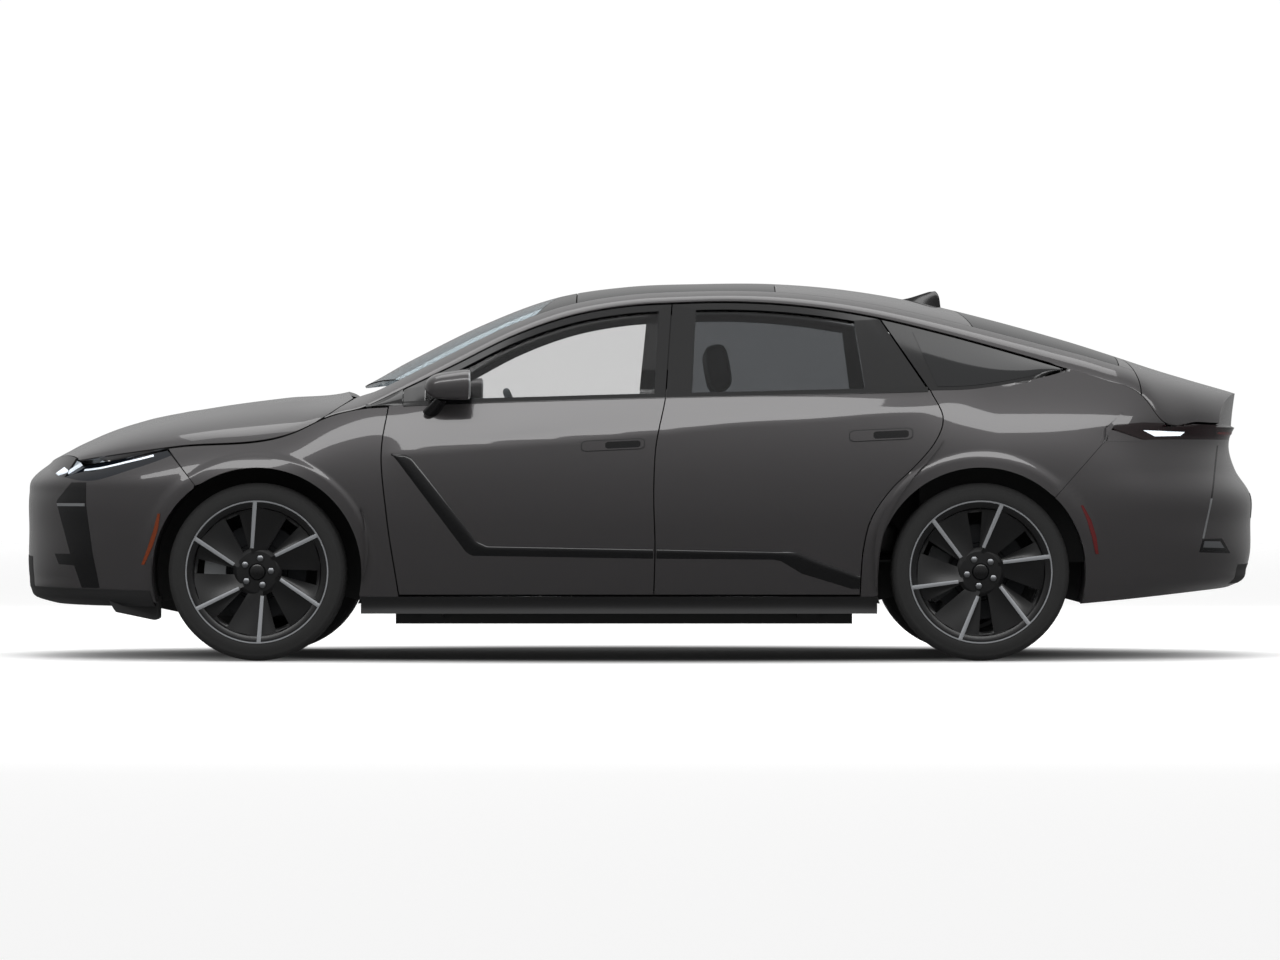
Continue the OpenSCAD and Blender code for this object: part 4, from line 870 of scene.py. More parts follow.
@dataclass
class SidePanels:
    """Front fender, rear quarter, sill and arch liners of one side."""

    side: Side
    columns: int = 96
    rows: int = 44

    def fender(self) -> Obj:
        """Fender from the bumper's seam over the arch to the door's shut line.

        Returns: the object.
        """
        low = resample([(-1811, 723 * HIGH), *arc(Axle.FRONT, 122, -13.5, 60), (-1075, SILL_TOP), (-993, SILL_TOP)],
                       self.columns)
        x = np.linspace(-1925, -1036, 80)
        top = resample(np.stack([x, SHAPE.belt(x) - 2 * GAP], 1), self.columns)
        grid = eased(low, top, self.rows, SHAPE.front_cut, -GAP, True)
        return on_side(f"fender {self.side.word}", grid, self.side, SKIN, Look.PAINT)

    def quarter(self) -> Obj:
        """Quarter from the rear door's shut line over the arch to the tail lamp.

        Returns: the object.
        """
        seam = [(float(SHAPE.seam_rear(z)), z) for z in np.linspace(675, 905, 6) * HIGH]
        low = resample([(905, SILL_TOP), *arc(Axle.REAR, 193.5, 46, 60), *seam, (1899, 969 * HIGH),
                        (2150, 969 * HIGH)], self.columns)
        x, back = np.linspace(1192, 1738, 60), np.linspace(1752, 2150, 160)
        top = resample([*zip(x, SHAPE.belt(x) - 1), *zip(back, SHAPE.edge(back) - np.where(back < 2036, 0.6, 2.0))],
                       self.columns)
        grid = eased(low, top, self.rows, SHAPE.rear_cut, GAP, False)
        return on_side(f"quarter {self.side.word}", grid, self.side, SKIN, Look.PAINT)

    def sill(self) -> Obj:
        """Black rocker under the doors, rounded in below its middle.

        Returns: the object.
        """
        x = np.linspace(-1139, 968, 60)
        z = np.linspace(195 * HIGH, SILL_TOP, 10)
        grid = SHAPE.side(*np.meshgrid(x, z))
        grid[..., 1] -= 14 * np.sin(np.linspace(0, np.pi, 10))[:, None]
        inner = grid.copy()
        inner[..., 1] = 771
        return shell(f"sill {self.side.word}", mirror(grid, self.side), mirror(inner, self.side), Look.SATIN, "body")

    def liner(self, axle: Axle) -> None:
        """Arch liner: a barrel inside the wheel arch with an inner wall.

        Args:
            axle: which arch.
        """
        a = np.radians(np.linspace(198, -18, 60))[:, None]
        r = np.array([432, 436, 440, 440, 300])[None]
        y = np.array([905, 860, 700, 500, 490])[None]
        grid = np.stack(np.broadcast_arrays(axle.value + r * np.cos(a), y, SHAPE.wheel_r + r * np.sin(a)), -1)
        grid[..., 2] = np.maximum(grid[..., 2], 236)
        panel(f"arch liner {axle.word} {self.side.word}", mirror(grid, self.side), 3, Look.SATIN, "body")

    def build(self) -> None:
        """Builds the side's panels and hides the CAD nodes they stand for."""
        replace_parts(self.fender(), f"fender_{self.side.word}")
        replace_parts(self.quarter(), f"quarter_{self.side.word}")
        sill = self.sill()
        if self.side is Side.RIGHT:
            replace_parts(sill, "sills")
        for axle in Axle:
            self.liner(axle)


@dataclass
class Door:
    """One door: painted skin, inner trim, window frame, pane, handle and trim strips."""

    side: Side
    axle: Axle
    columns: int = 72
    rows: int = 56

    @property
    def body(self) -> str:
        """Returns: the CAD body of this door."""
        return f"door_{self.axle.word}_{self.side.word}"

    @property
    def cuts(self) -> tuple[Curve, Curve]:
        """Returns: the shut lines ahead of and behind the door."""
        front = self.axle is Axle.FRONT
        return (SHAPE.front_cut, SHAPE.middle_cut) if front else (SHAPE.middle_cut, SHAPE.rear_cut)

    def field(self, s: np.ndarray, t: np.ndarray) -> tuple[np.ndarray, np.ndarray]:
        """Stations and heights over the door below the belt.

        Args:
            s: 0 at the front shut line to 1 at the rear one.
            t: 0 at the lower edge to 1 at the belt.
        Returns: x and z, one for each pair.
        """
        a, b = self.cuts
        z = mix(SHAPE.door_low, 1085 * HIGH, t)
        for _ in range(3):
            x = mix(a(z) + GAP, b(z) - GAP, s)
            z = mix(SHAPE.door_low, SHAPE.belt(x), t)
        return mix(a(z) + GAP, b(z) - GAP, s), z

    def skin(self) -> Obj:
        """Outer skin over the whole field of the door.

        Returns: the object.
        """
        grid = SHAPE.side(*self.field(*np.meshgrid(np.linspace(0, 1, self.columns), np.linspace(0, 1, self.rows))))
        inner = grid - np.array([0, 18.0, 0])
        return shell(f"{self.body} skin", mirror(grid, self.side), mirror(inner, self.side), Look.PAINT, self.body)

    def trim(self) -> None:
        """Inner door panel with an arm rest and a map pocket, behind the skin."""
        s, t = np.meshgrid(np.linspace(0.1, 0.955, 40), np.linspace(0.03, 0.985, 40))
        grid = SHAPE.side(*self.field(s, t))
        rest = 26 * np.exp(-((t - 0.62) / 0.06)**4) * step(0.1, 0.3, s) * (1 - step(0.8, 0.95, s))
        pocket = 12 * np.exp(-((t - 0.2) / 0.1)**4) * step(0.1, 0.25, s) * (1 - step(0.7, 0.9, s))
        round_off = 14 * (1 - np.minimum(1, 12 * np.minimum.reduce([s - 0.1, 0.955 - s, t - 0.03, 0.985 - t]))**0.5)
        inner, outer = grid.copy(), grid - np.array([0, 18.2, 0])
        inner[..., 1] -= 84 + rest + pocket - round_off
        outer_r, inner_r = mirror(outer, self.side), mirror(inner, self.side)
        shell(f"{self.body} inner panel", outer_r, inner_r, Look.CABIN, self.body)
        cut = (slice(22, 32), slice(8, 34))
        shell(f"{self.body} arm rest pad", inner_r[cut] + [0, self.side.value * 1.0, 0],
              inner_r[cut] - [0, self.side.value * 4.0, 0], Look.LEATHER, self.body)

    def outline(self) -> tuple[np.ndarray, np.ndarray]:
        """Outer and inner edge of the window frame.

        Returns: two paths of (x, z) points of equal length.
        """
        n = 70
        gap, belt, edge = 6.0, SHAPE.belt, SHAPE.edge
        if self.axle is Axle.FRONT:
            low, high = float(SHAPE.middle_cut(belt(105.0))) - GAP, float(SHAPE.middle_cut(1478 * HIGH)) - GAP
            xo, xi = np.linspace(-966, high, n), np.linspace(-880, high - 52, n)
            outer = [(-966, belt(-966.0)), *zip(xo, edge(xo) - gap), (low, belt(low))]
            inner = [(-880, belt(-880.0) + 14), *zip(xi, edge(xi) - gap - 26), (low - 44, belt(low) + 14)]
        else:
            low, high = float(SHAPE.middle_cut(belt(105.0))) + GAP, float(SHAPE.middle_cut(1478 * HIGH)) + GAP
            xo, xi = np.linspace(high, 985, n), np.linspace(high + 96, 880, n)
            outer = [(low, belt(low)), *zip(xo, edge(xo) - gap), (1176, belt(1176.0))]
            inner = [(low + 104, belt(low) + 14), *zip(xi, edge(xi) - gap - 26), (920, belt(920.0) + 14)]
        return np.array(outer), np.array(inner)

    def window(self) -> Obj:
        """Gloss black window frame with its belt strip, and the pane set into it.

        Returns: the pane.
        """
        outer, inner = self.outline()
        grid = mix(inner[None], outer[None], np.linspace(0, 1, 4)[:, None, None])
        on_side(f"{self.body} window frame", grid, self.side, 28, Look.BLACK, self.body, 1.0)
        x = np.linspace(outer[0, 0], outer[-1, 0], 60)
        z = SHAPE.belt(x) + np.linspace(-5, 15, 5)[:, None]
        strip = SHAPE.side(np.broadcast_to(x, z.shape), z)
        strip[..., 1] += 2.5
        panel(f"{self.body} belt strip", mirror(strip, self.side), 24, Look.BLACK, self.body)
        m = len(inner) - 2
        low = np.linspace(inner[0], inner[-1], m)
        low[:, 1] = SHAPE.belt(low[:, 0]) + 8
        places = rows_between(low, inner[1:-1] + [0, 2.0], 24)
        finish = Look.CLEAR if self.axle is Axle.FRONT else Look.DARK
        return on_side(f"{self.body} pane", places, self.side, 4.5, finish, self.body, 9)

    def handle(self) -> None:
        """Flush handle: a painted bar in a shallow recess, the recess's hollow drawn as a gloss black plate of painted
        shade.
        """
        x0, x1, za, zb = (-240, 20, 866, 912) if self.axle is Axle.FRONT else (852, 1113, 906, 955)
        for name, u0, u1, v0, v1, out, thick, finish in (
                ("handle frame", 0, 1, 0, 1, 0.8, 4, Look.SATIN),
                ("handle bar", 0.015, 0.985, 0.07, 0.93, 4.5, 6, Look.PAINT),
                # The recess is a flat gloss black plate standing out over the bar: painted shade of the hollow.
                ("handle recess", 0.38, 0.93, 0.2, 0.8, 5.2, 3, Look.BLACK)):
            u, v = np.meshgrid(np.linspace(u0, u1, 40), np.linspace(v0, v1, 10))
            end = np.clip(np.minimum(u - u0, u1 - u) / (u1 - u0) * 14, 0, 1)
            v = (v0 + v1) / 2 + (v - (v0 + v1) / 2) * (0.55 + 0.45 * np.sqrt(end))
            grid = SHAPE.side(mix(x0, x1, u), mix(za, zb, v) * HIGH + mix(-6, 6, u))
            grid[..., 1] += out
            panel(f"{self.body} {name}", mirror(grid, self.side), thick, finish, self.body)

    def blade(self) -> None:
        """Black blade along the lower door: a slanting slash and a band that drops to the rear arch."""
        if self.axle is Axle.FRONT:
            upper = [(-1014, 852), (-955, 849), (-932, 838), (-668, 492), (-625, 474), (53, 461)]
            lower = [(-1012, 850), (-990, 826), (-708, 448), (-684, 434), (53, 422)]
        else:
            upper = [(67, 461), (600, 450), (640, 446), (720, 412), (905, 345)]
            lower = [(67, 422), (545, 418), (575, 412), (660, 360), (866, 297), (899, 297)]
        n = 110
        up, low = resample(upper, n) * [1, HIGH], resample(lower, n) * [1, HIGH]
        a, b = self.cuts
        pair = rows_between(low, up, 12)
        pair[..., 0] = np.clip(pair[..., 0], a(pair[..., 1]) + GAP + 0.5, b(pair[..., 1]) - GAP - 0.5)
        grid = SHAPE.side(pair[..., 0], pair[..., 1])
        grid[..., 1] += 1.2 + 4.5 * np.sin(np.linspace(0, np.pi, 12))[:, None]**0.5
        panel(f"{self.body} blade", mirror(grid, self.side), 5, Look.BLACK, self.body)

    def build(self) -> None:
        """Builds the door and hides the CAD nodes it stands for."""
        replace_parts(self.skin(), self.body)
        self.trim()
        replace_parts(self.window(), self.body.replace("door", "glass"))
        self.handle()
        self.blade()


# Upper body

@dataclass
class UpperBody:
    """Hood, screens, roof, rails and trunk lid, all under one crown."""

    across: int = 61
    hood_side: Curve = Curve(((HOOD_TAPER, 1), (-1263, 0.975), (-1210, 0.885), (-1176, 0.8)))
    rail_in: Curve = Curve((
        (-1300, 0.996), (-1263, 0.985), (-1210, 0.905), (-1165, 0.83), (-1080, 0.862), (-985, 0.88), (-970, 0.88),
        (2036, 0.88)))

    def patch(self, front: Callable, rear: Callable, n: int, width: float | Callable) -> np.ndarray:
        """Grid of the upper surface between two cross lines.

        Args:
            front: station of the front line at each share across.
            rear: station of the rear line.
            n: rows along the car.
            width: share of the edge's half width, one number or one for each station.
        Returns: points, rows by columns by 3.
        """
        k = np.linspace(-1, 1, self.across)
        s = np.sin(np.pi / 2 * k) * 0.6 + k * 0.4
        t = np.linspace(0, 1, n)[:, None]
        x = mix(front(s)[None], rear(s)[None], t)
        f = width(x) if callable(width) else width
        return SHAPE.over(x, s[None] * f)

    def hood(self) -> Obj:
        """Hood with two raised lines running back from the lamps and a dished middle.

        Returns: the object.
        """
        f = lambda x: np.minimum(self.hood_side(np.maximum(x, HOOD_TAPER)), 1) - 0.0006
        grid = self.patch(lambda s: HOOD_FRONT + HOOD_SWEEP * np.abs(s)**3, lambda s: -1222 + 42 * s**2, 70, f)
        x, y = grid[..., 0], np.abs(grid[..., 1])
        line = 330 + 230 * step(-2450, -1300, x)
        d = y - line
        fade = step(HOOD_FRONT, -2300, x) * (1 - step(-1420, -1240, x))
        grid[..., 2] += fade * (7 * np.exp(-np.abs(d) / 55) - 5 * np.exp(-(y / 260)**2))
        n = normals(grid)
        edge = np.clip(1 - np.abs(np.linspace(-1, 1, self.across))**12, 0.5, 1)[None, :, None]
        return shell("hood", grid, grid - n * 16 * edge, Look.PAINT, "hood")

    def hood_liner(self) -> None:
        """Pressed inner panel under the hood, with ribs."""
        f = lambda x: 0.86 * np.minimum(self.hood_side(np.maximum(x, HOOD_TAPER)), 1)
        grid = self.patch(lambda s: -2380 + 150 * np.abs(s)**3, lambda s: -1270 + 30 * s**2, 50, f)
        rib = 8 * np.cos(grid[..., 1] / 95) * np.cos(grid[..., 0] / 120)
        n = normals(grid)
        shell("hood inner panel", grid - n * 17, grid - n * (26 + rib[..., None]), Look.SATIN, "hood")

    def build(self) -> None:
        """Builds the upper body and hides the CAD nodes it stands for."""
        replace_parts(self.hood(), "hood")
        self.hood_liner()
        w = SHAPE.screen_f - 0.001
        for name, front, rear, rows, thick, finish, node in (
                ("windscreen", lambda s: -1160 + 172 * s**2, lambda s: -314 - 115 * s**2, 50, 5, Look.SCREEN,
                 "windshield"),
                ("roof header", lambda s: -311 - 115 * s**2, lambda s: -264 + 0 * s, 8, 26, Look.BLACK, None),
                ("glass roof", lambda s: -259 + 0 * s, lambda s: 556 + 0 * s, 40, 10, Look.ROOF, "roof_glass"),
                ("roof panel", lambda s: 560 + 0 * s, lambda s: 1299 + 70 * s**2, 44, 26, Look.PAINT, "roof_panel"),
                ("rear window", lambda s: 1303 + 70 * s**2, lambda s: 1966 + 0 * s, 40, 5, Look.ROOF, "rear_window"),
                ("rear deck strip", lambda s: 1970 + 0 * s, lambda s: LID_FRONT - 5 + LID_SWEEP * np.abs(0.88 * s)**3,
                 6, 12, Look.PAINT, None)):
            made = panel(name, self.patch(front, rear, rows, w), thick, finish, "body")
            if node:
                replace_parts(made, node)
        self.cowl()
        for side in Side:
            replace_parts(self.rail(side), f"rail_{side.word}")
            self.pillar_foot(side)
            self.quarter_glass(side)
        self.lid()
        self.fin()

    def cowl(self) -> None:
        """Grained cowl tray between hood and windscreen."""
        grid = self.patch(lambda s: -1236 + 60 * s**2, lambda s: -1150 + 160 * s**2, 10, 0.84)
        panel("cowl tray", grid, 6, Look.SATIN, "body", 60)

    def rail(self, side: Side) -> Obj:
        """Roof rail from the fender over the doors to the trunk lid: pillar, roof side and rear pillar in one.

        Args:
            side: which side.
        Returns: the object.
        """
        spans = ((-1288, -1060, 50), (-1050, 1990, 130), (2000, 2060, 8))
        x = np.concatenate([np.linspace(*span) for span in spans])[:, None]
        t = np.linspace(0, 1, 16)[None]
        f = mix(self.rail_in(x) + 0.001, np.where(x > 1700, 1, 0.9995), t)
        grid = SHAPE.over(np.minimum(x, LID_FRONT + LID_SWEEP * f**3 - 2 * GAP), f)
        n = normals(grid)
        thick = np.array([38.0] * 11 + [34, 28, 22, 16, 11])[None, :, None]
        return shell(f"roof rail {side.word}", mirror(grid, side), mirror(grid - n * thick, side), Look.PAINT, "body")

    def pillar_foot(self, side: Side) -> None:
        """Black foot of the windscreen pillar between fender and door window.

        Args:
            side: which side.
        """
        x = np.linspace(-1118, -970, 24)
        low, top = SHAPE.belt(x) + 1, np.maximum(SHAPE.edge(x) - 1, SHAPE.belt(x) + 3)
        z = mix(low[None], top[None], np.linspace(0, 1, 8)[:, None])
        grid = SHAPE.side(np.broadcast_to(x, z.shape), z)
        panel(f"pillar foot {side.word}", mirror(grid, side), 16, Look.BLACK, "body", 1.0)

    def quarter_glass(self, side: Side) -> None:
        """Dark quarter pane in a gloss black surround behind the rear door.

        Args:
            side: which side.
        """
        xl, xt = np.linspace(1186, 1737, 60), np.linspace(994, 1720, 60)
        low = np.stack([xl, SHAPE.belt(xl) + 1.5], 1)
        top = np.stack([xt, SHAPE.edge(xt) - 5], 1)
        grid = rows_between(low, top, 16)
        surround = on_side(f"quarter surround {side.word}", grid, side, 12, Look.BLACK, depth=3)
        xl, xt = np.linspace(1215, 1668, 50), np.linspace(1120, 1632, 50)
        low = np.stack([xl, SHAPE.belt(xl) + 16], 1)
        top = np.stack([xt, np.maximum(SHAPE.edge(xt) - 26, SHAPE.belt(xt) + 18)], 1)
        grid = rows_between(low, top, 14)
        on_side(f"quarter pane {side.word}", grid, side, 3, Look.ROOF, depth=1.5)
        if side is Side.RIGHT:
            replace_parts(surround, "quarter_glass")

    def lid(self) -> None:
        """Trunk lid: the deck with a sharp tail edge and the rear face down to the lamp bar."""
        k = np.linspace(-1, 1, self.across)
        s = (np.sign(k) * (1 - (1 - np.abs(k))**1.6))[None]
        t = np.linspace(0, 1, 50)[:, None]
        x = mix(LID_FRONT + LID_SWEEP * np.abs(s)**3, 2512 - 115 * np.abs(s)**3.2, t)
        top = SHAPE.over(x, np.broadcast_to(s, x.shape) * 0.99995)
        u = np.linspace(0.08, 1, 14)[:, None]
        last = top[-1][None]
        low = np.minimum(974 * HIGH, last[..., 2] - 1)
        face = np.stack(np.broadcast_arrays(
            last[..., 0] - 8 * np.sin(np.pi / 2 * u) - 8 * u, last[..., 1], mix(last[..., 2], low, u)), -1)
        grid = np.concatenate([top, face])
        n = normals(top)
        under = top - n * 16
        back = face - np.array([26.0, 0, 0])
        back[..., 1] *= 0.975
        under[-1] = mix(under[-1], back[0], 0.5)
        lid = shell("trunk lid", grid, np.concatenate([under, back]), Look.PAINT, "trunk_lid", 28)
        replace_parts(lid, "trunk_lid")

    def fin(self) -> None:
        """Antenna fin: a leaning blade on the rear of the roof, narrowing upwards."""
        v = np.linspace(0, 1, 12)[:, None]
        a = np.linspace(0, 2 * np.pi, 36, endpoint=False)[None]
        front, rear = mix(1087, 1205, v), mix(1272, 1262, v)
        top = mix(1538.0, 1534.0, 0.5 - 0.5 * np.cos(a))
        x = (front + rear) / 2 + (rear - front) / 2 * np.cos(a) * (1 - 0.5 * v**8)
        width = mix(15, 3, v) * (1 - 0.8 * v**8) * (0.75 + 0.25 * np.cos(a))
        grid = np.stack(np.broadcast_arrays(x, width * np.sin(a), mix(SHAPE.crown(x) - 3, top, v)), -1)
        make("antenna fin", grid, grid_faces(12, 36, False, True), Look.BLACK, "body")


# Nose and tail

@dataclass
class Ends:
    """Front and rear bumper with intakes, lamps, lips and markers."""

    nose_top: Curve = high_values((0, 803), (0.3, 795), (0.42, 774), (0.52, 757), (0.68, 743), (0.84, 790), (1, 846))
    nose_low: Curve = high_values((0, 262), (0.5, 258), (1, 240))
    lamp_top: Curve = high_values((0.5, 781), (0.56, 794), (0.68, 812), (0.84, 838), (1, 866))
    tail_top: Curve = high_values((0, 915), (0.5, 914), (1, 912))
    tail_low: Curve = high_values((0, 300), (0.5, 282), (1, 236))

    def wrap(self, name: str, surface: Callable, low: Curve, top: Curve, w: np.ndarray, n: int, thick: float,
             finish: Finish, out: float = 0.0) -> Obj:
        """Panel round the nose or tail between two height lines.

        Args:
            name: the piece's name.
            surface: the nose or tail surface of height and share round the corner.
            low: lower height over the share's size.
            top: upper height.
            w: shares round the corner.
            n: rows.
            thick: thickness in millimetres.
            finish: its look.
            out: millimetres outside the surface.
        Returns: the object.
        """
        z = mix(low(np.abs(w))[None], top(np.abs(w))[None], np.linspace(0, 1, n)[:, None])
        grid = surface(z, np.broadcast_to(w, z.shape))
        return panel(name, grid, thick, finish, "body", -out)

    def front(self) -> None:
        """Front bumper, corner intakes, grille, lip and headlamps."""
        bumper = self.wrap("front bumper", SHAPE.nose, self.nose_low, self.nose_top, np.linspace(-1, 1, 141), 46, 28,
                           Look.PAINT)
        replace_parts(bumper, "front_bumper")
        self.wrap("front lower grille", SHAPE.nose, level(300), high_values((0, 430), (0.3, 425), (1, 380)),
                  np.linspace(-0.28, 0.28, 60), 12, 6, Look.SATIN, 1.2)
        self.wrap("front lip", SHAPE.nose, high_values((0, 232), (0.5, 228), (1, 225)),
                  high_values((0, 302), (0.5, 299), (1, 289)), np.linspace(-0.985, 0.985, 120), 10, 26, Look.SATIN, 2)
        self.nose_cap()
        k = np.linspace(0.5, 1, 9)
        line = self.nose_top(k) * 0.35 + self.lamp_top(k) * 0.65
        strip, above = (Curve(tuple(zip(k, line + up))) for up in (0, 7))
        for side in Side:
            self.plates(side, (
                ("corner intake", ((-2292, 299), (-2343, 443), (-2401, 642), (-2406, 657), (-2336, 735)),
                 ((-2214, 299), (-2243, 443), (-2271, 642), (-2271, 657), (-2271, 735)), Look.BLACK, 1.0, 6),
                ("intake slot", ((-2394, 396), (-2414, 439)), ((-2302, 390), (-2302, 439)), Look.BLACK, 1.6, 6),
                ("intake blade", ((-2398, 637), (-2401, 649)), ((-2275, 637), (-2275, 649)), Look.ALLOY, 3.5, 6),
                ("lamp wedge", ((-2401, 764), (-2322, 818)), ((-2352, 770), (-2292, 806)), Look.LIGHT, 15.0, 16),
                ("lamp backing", ((-2330, 775), (-2330, 822)), ((-1860, 800), (-1860, 884)), Look.SATIN, -22.0, 6)))
            self.marker(side, Axle.FRONT)
            self.deflector(side)
            w = np.linspace(-1, -0.5, 60) * -side.value
            lamp = self.wrap(f"headlamp lens {side.word}", SHAPE.nose, self.nose_top, self.lamp_top, w, 20, 26,
                             Look.LENS)
            if side is Side.RIGHT:
                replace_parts(lamp, "headlamps")
            self.wrap(f"daytime lamp {side.word}", SHAPE.nose, strip, above, np.linspace(0.62, 0.93, 40) * side.value,
                      4, 4, Look.LIGHT, 1.5)

    def rear(self) -> None:
        """Rear bumper, lamp bar, corner recesses, diffuser and reflectors."""
        bumper = self.wrap("rear bumper", SHAPE.tail, self.tail_low, self.tail_top, np.linspace(1, -1, 141), 46, 28,
                           Look.PAINT)
        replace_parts(bumper, "rear_bumper")
        bar = self.wrap("tail lamp bar", SHAPE.tail, Curve(((0, 908.0), (0.5, 907.1), (1, 905.1))), level(966),
                        np.linspace(1, -1, 161), 14, 36, Look.RED)
        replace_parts(bar, "tail_lamps")
        for name, low, top, reach, columns, rows, thick, finish, out in (
                ("tail lamp strip", high_values((0, 936), (1, 938)), level(946), 0.42, 90, 4, 3, Look.MARKER, 1.5),
                ("blank rear plate", level(585), level(690), 0.14, 40, 8, 4, Look.SATIN, 1.5),
                ("diffuser", high_values((0, 312), (0.5, 312)), high_values((0, 395), (0.5, 390)), 0.33, 70, 12, 10,
                 Look.SATIN, 1)):
            self.wrap(name, SHAPE.tail, low, top, np.linspace(reach, -reach, columns), rows, thick, finish, out)
        for side in Side:
            self.plates(side, (
                ("rear corner line", ((2347, 670), (2392, 890)), ((2354, 670), (2399, 890)), Look.BLACK, 0.6, 6),
                ("rear corner trim", ((2309, 503), (2347, 668)), ((2317, 503), (2354, 668)), Look.ALLOY, 1.2, 6),
                ("lamp surround", ((1876, 903), (1893, 962)), ((2058, 903), (2058, 909)), Look.PAINT, 1.6, 6),
                ("rear reflector", ((2296, 446), (2312, 500)), ((2440, 440), (2400, 502)), Look.BLACK, 1.0, 6),
                ("reflector lens", ((2312, 466), (2318, 492)), ((2410, 462), (2390, 490)), Look.STEEL, 2.2, 6),
                ("lamp tip", ((1903, 967), (1903, 969)), ((2056, 911), (2056, 982)), Look.RED, 3.0, 8),
                ("lamp cover", ((2056, 911), (2056, 982)), ((2380, 922), (2380, 975)), Look.RED, 3.0, 8),
                ("lamp element", ((2105, 925), (2055, 950)), ((2215, 928), (2235, 944)), Look.LIGHT, 4.2, 4)))
            self.marker(side, Axle.REAR)

    def plates(self, side: Side, rows: Sequence[tuple]) -> None:
        """Plates of one side from a table.

        Args:
            side: which side.
            rows: name, left edge, right edge, look, millimetres outside and thickness of each.
        """
        for name, left, right, finish, out, thick in rows:
            self.plate(name, left, right, side, finish, out, thick)

    def plate(self, name: str, left: Points, right: Points, side: Side, finish: Finish, out: float = 1.5,
              thick: float = 6.0) -> None:
        """Plate on the body side between two upright edges, placed by its side view.

        Args:
            name: what it is.
            left: (x, z) points of the edge nearer the nose, heights as on the base body.
            right: as many points of the other edge.
            side: which side.
            finish: its look.
            out: millimetres outside the surface.
            thick: thickness.
        """
        a, b = (resample(edge, 32) * [1, HIGH] for edge in (left, right))
        p = mix(a[:, None], b[:, None], np.linspace(0, 1, 12)[None, :, None])
        on_side(f"{name} {side.word}", p, side, thick, finish, depth=-out)

    def marker(self, side: Side, axle: Axle) -> None:
        """Slim side marker lamp following the arch.

        Args:
            side: which side.
            axle: which end.
        """
        front = axle is Axle.FRONT
        mid = np.array(((-2028, 397), (-1998, 468), (-1974, 540), (-1960, 607)) if front
                       else ((1862, 441), (1850, 510), (1829, 580), (1799, 641)))
        half = np.array([[6, 0], [9, 0], [9, 0], [5, 0]])
        finish = Look.AMBER if front else Look.MARKER
        self.plate(f"side marker {axle.word}", mid - half, mid + half, side, finish, 3.0)

    def nose_cap(self) -> None:
        """Painted strip that closes the nose: a straight blend from the bumper's upper edge to the hood's front."""
        t = np.linspace(-1, 1, 80)
        low = SHAPE.nose(self.nose_top(0.52 * np.abs(t)) - 1, 0.52 * t)
        x = HOOD_FRONT - 6 + HOOD_SWEEP * np.abs(0.98 * t)**3
        top = SHAPE.over(x, 0.98 * t)
        grid = mix(low[None], top[None], np.linspace(0, 1, 8)[:, None, None])
        panel("nose cap", grid, 10, Look.PAINT, "body")

    def deflector(self, side: Side) -> None:
        """Air deflector under the bumper ahead of the wheel, its lower edge dropping towards the wheel.

        Args:
            side: which side.
        """
        x, y = np.meshgrid(np.linspace(-2184, -1973, 24), np.linspace(640, 790, 6))
        low = np.interp(x, (-2184, -2150, -1985, -1973), (260, 200, 165, 175)) * HIGH
        grid = np.stack([x, y, low], -1)
        top = np.stack([x, y, np.full_like(x, 264 * HIGH)], -1)
        shell(f"deflector {side.word}", mirror(grid, side), mirror(top, side), Look.SATIN, "body")

    def build(self) -> None:
        """Builds both ends."""
        self.front()
        self.rear()


# Mirrors

@dataclass
class DoorMirror:
    """Door mirror: painted shell, black foot and mirror glass."""

    side: Side

    def build(self) -> None:
        """Builds the mirror: a rounded box, blunt ahead and cut flat behind, on a slanted foot."""
        body = f"door_front_{self.side.word}"
        c = np.array([-785.0, 985, 1128 * HIGH])
        u = np.linspace(-1, 1, 26)[:, None]
        a = np.linspace(0, 2 * np.pi, 48, endpoint=False)[None]
        swell = np.sqrt(np.clip(1 - np.clip(-u, 0, 1)**3.2, 0.0004, 1)) * (1 - 0.06 * np.clip(u, 0, 1)**6)
        cy = np.sign(np.cos(a)) * np.abs(np.cos(a))**0.62
        cz = np.sign(np.sin(a)) * np.abs(np.sin(a))**0.7
        y = -2 + 80 * cy * swell
        z = 4 + (56 + 8 * u) * cz * swell - 6 * cy + 5 * u
        grid = np.stack(np.broadcast_arrays(90 * u, y, z), -1) + c
        cap = np.concatenate([grid, np.broadcast_to(grid[-1].mean(0) + [-14, 0, 0], grid[-1:].shape)])
        order = -self.side.value
        housing = make(f"mirror shell {self.side.word}", mirror(cap, self.side),
                       grid_faces(27, 48, False, True)[:, ::order], Look.PAINT, body)
        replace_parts(housing, f"mirror_{self.side.word}")
        rim = grid[-1].mean(0) + (grid[-1] - grid[-1].mean(0)) * 0.9 + [1.0, 0, 0]
        back = np.stack([rim, rim + [3.0, 0, 0], np.broadcast_to(rim.mean(0) + [3.5, 0, 0], rim.shape)])
        make(f"mirror glass {self.side.word}", mirror(back, self.side), grid_faces(3, 48, False, True)[:, ::order],
             Look.STEEL, body)
        root = np.array([-852.0, float(SHAPE.side_y(-852.0, 1030 * HIGH)) + 2, 1022 * HIGH])
        tip = c + [-20.0, -40, -48]
        path = np.stack([mix(root, tip, k) for k in np.linspace(0, 1, 14)])
        tube(f"mirror foot {self.side.word}", mirror(path, self.side), np.linspace(44, 30, 14), Look.BLACK, body, 24,
             0.5)


# Wheels

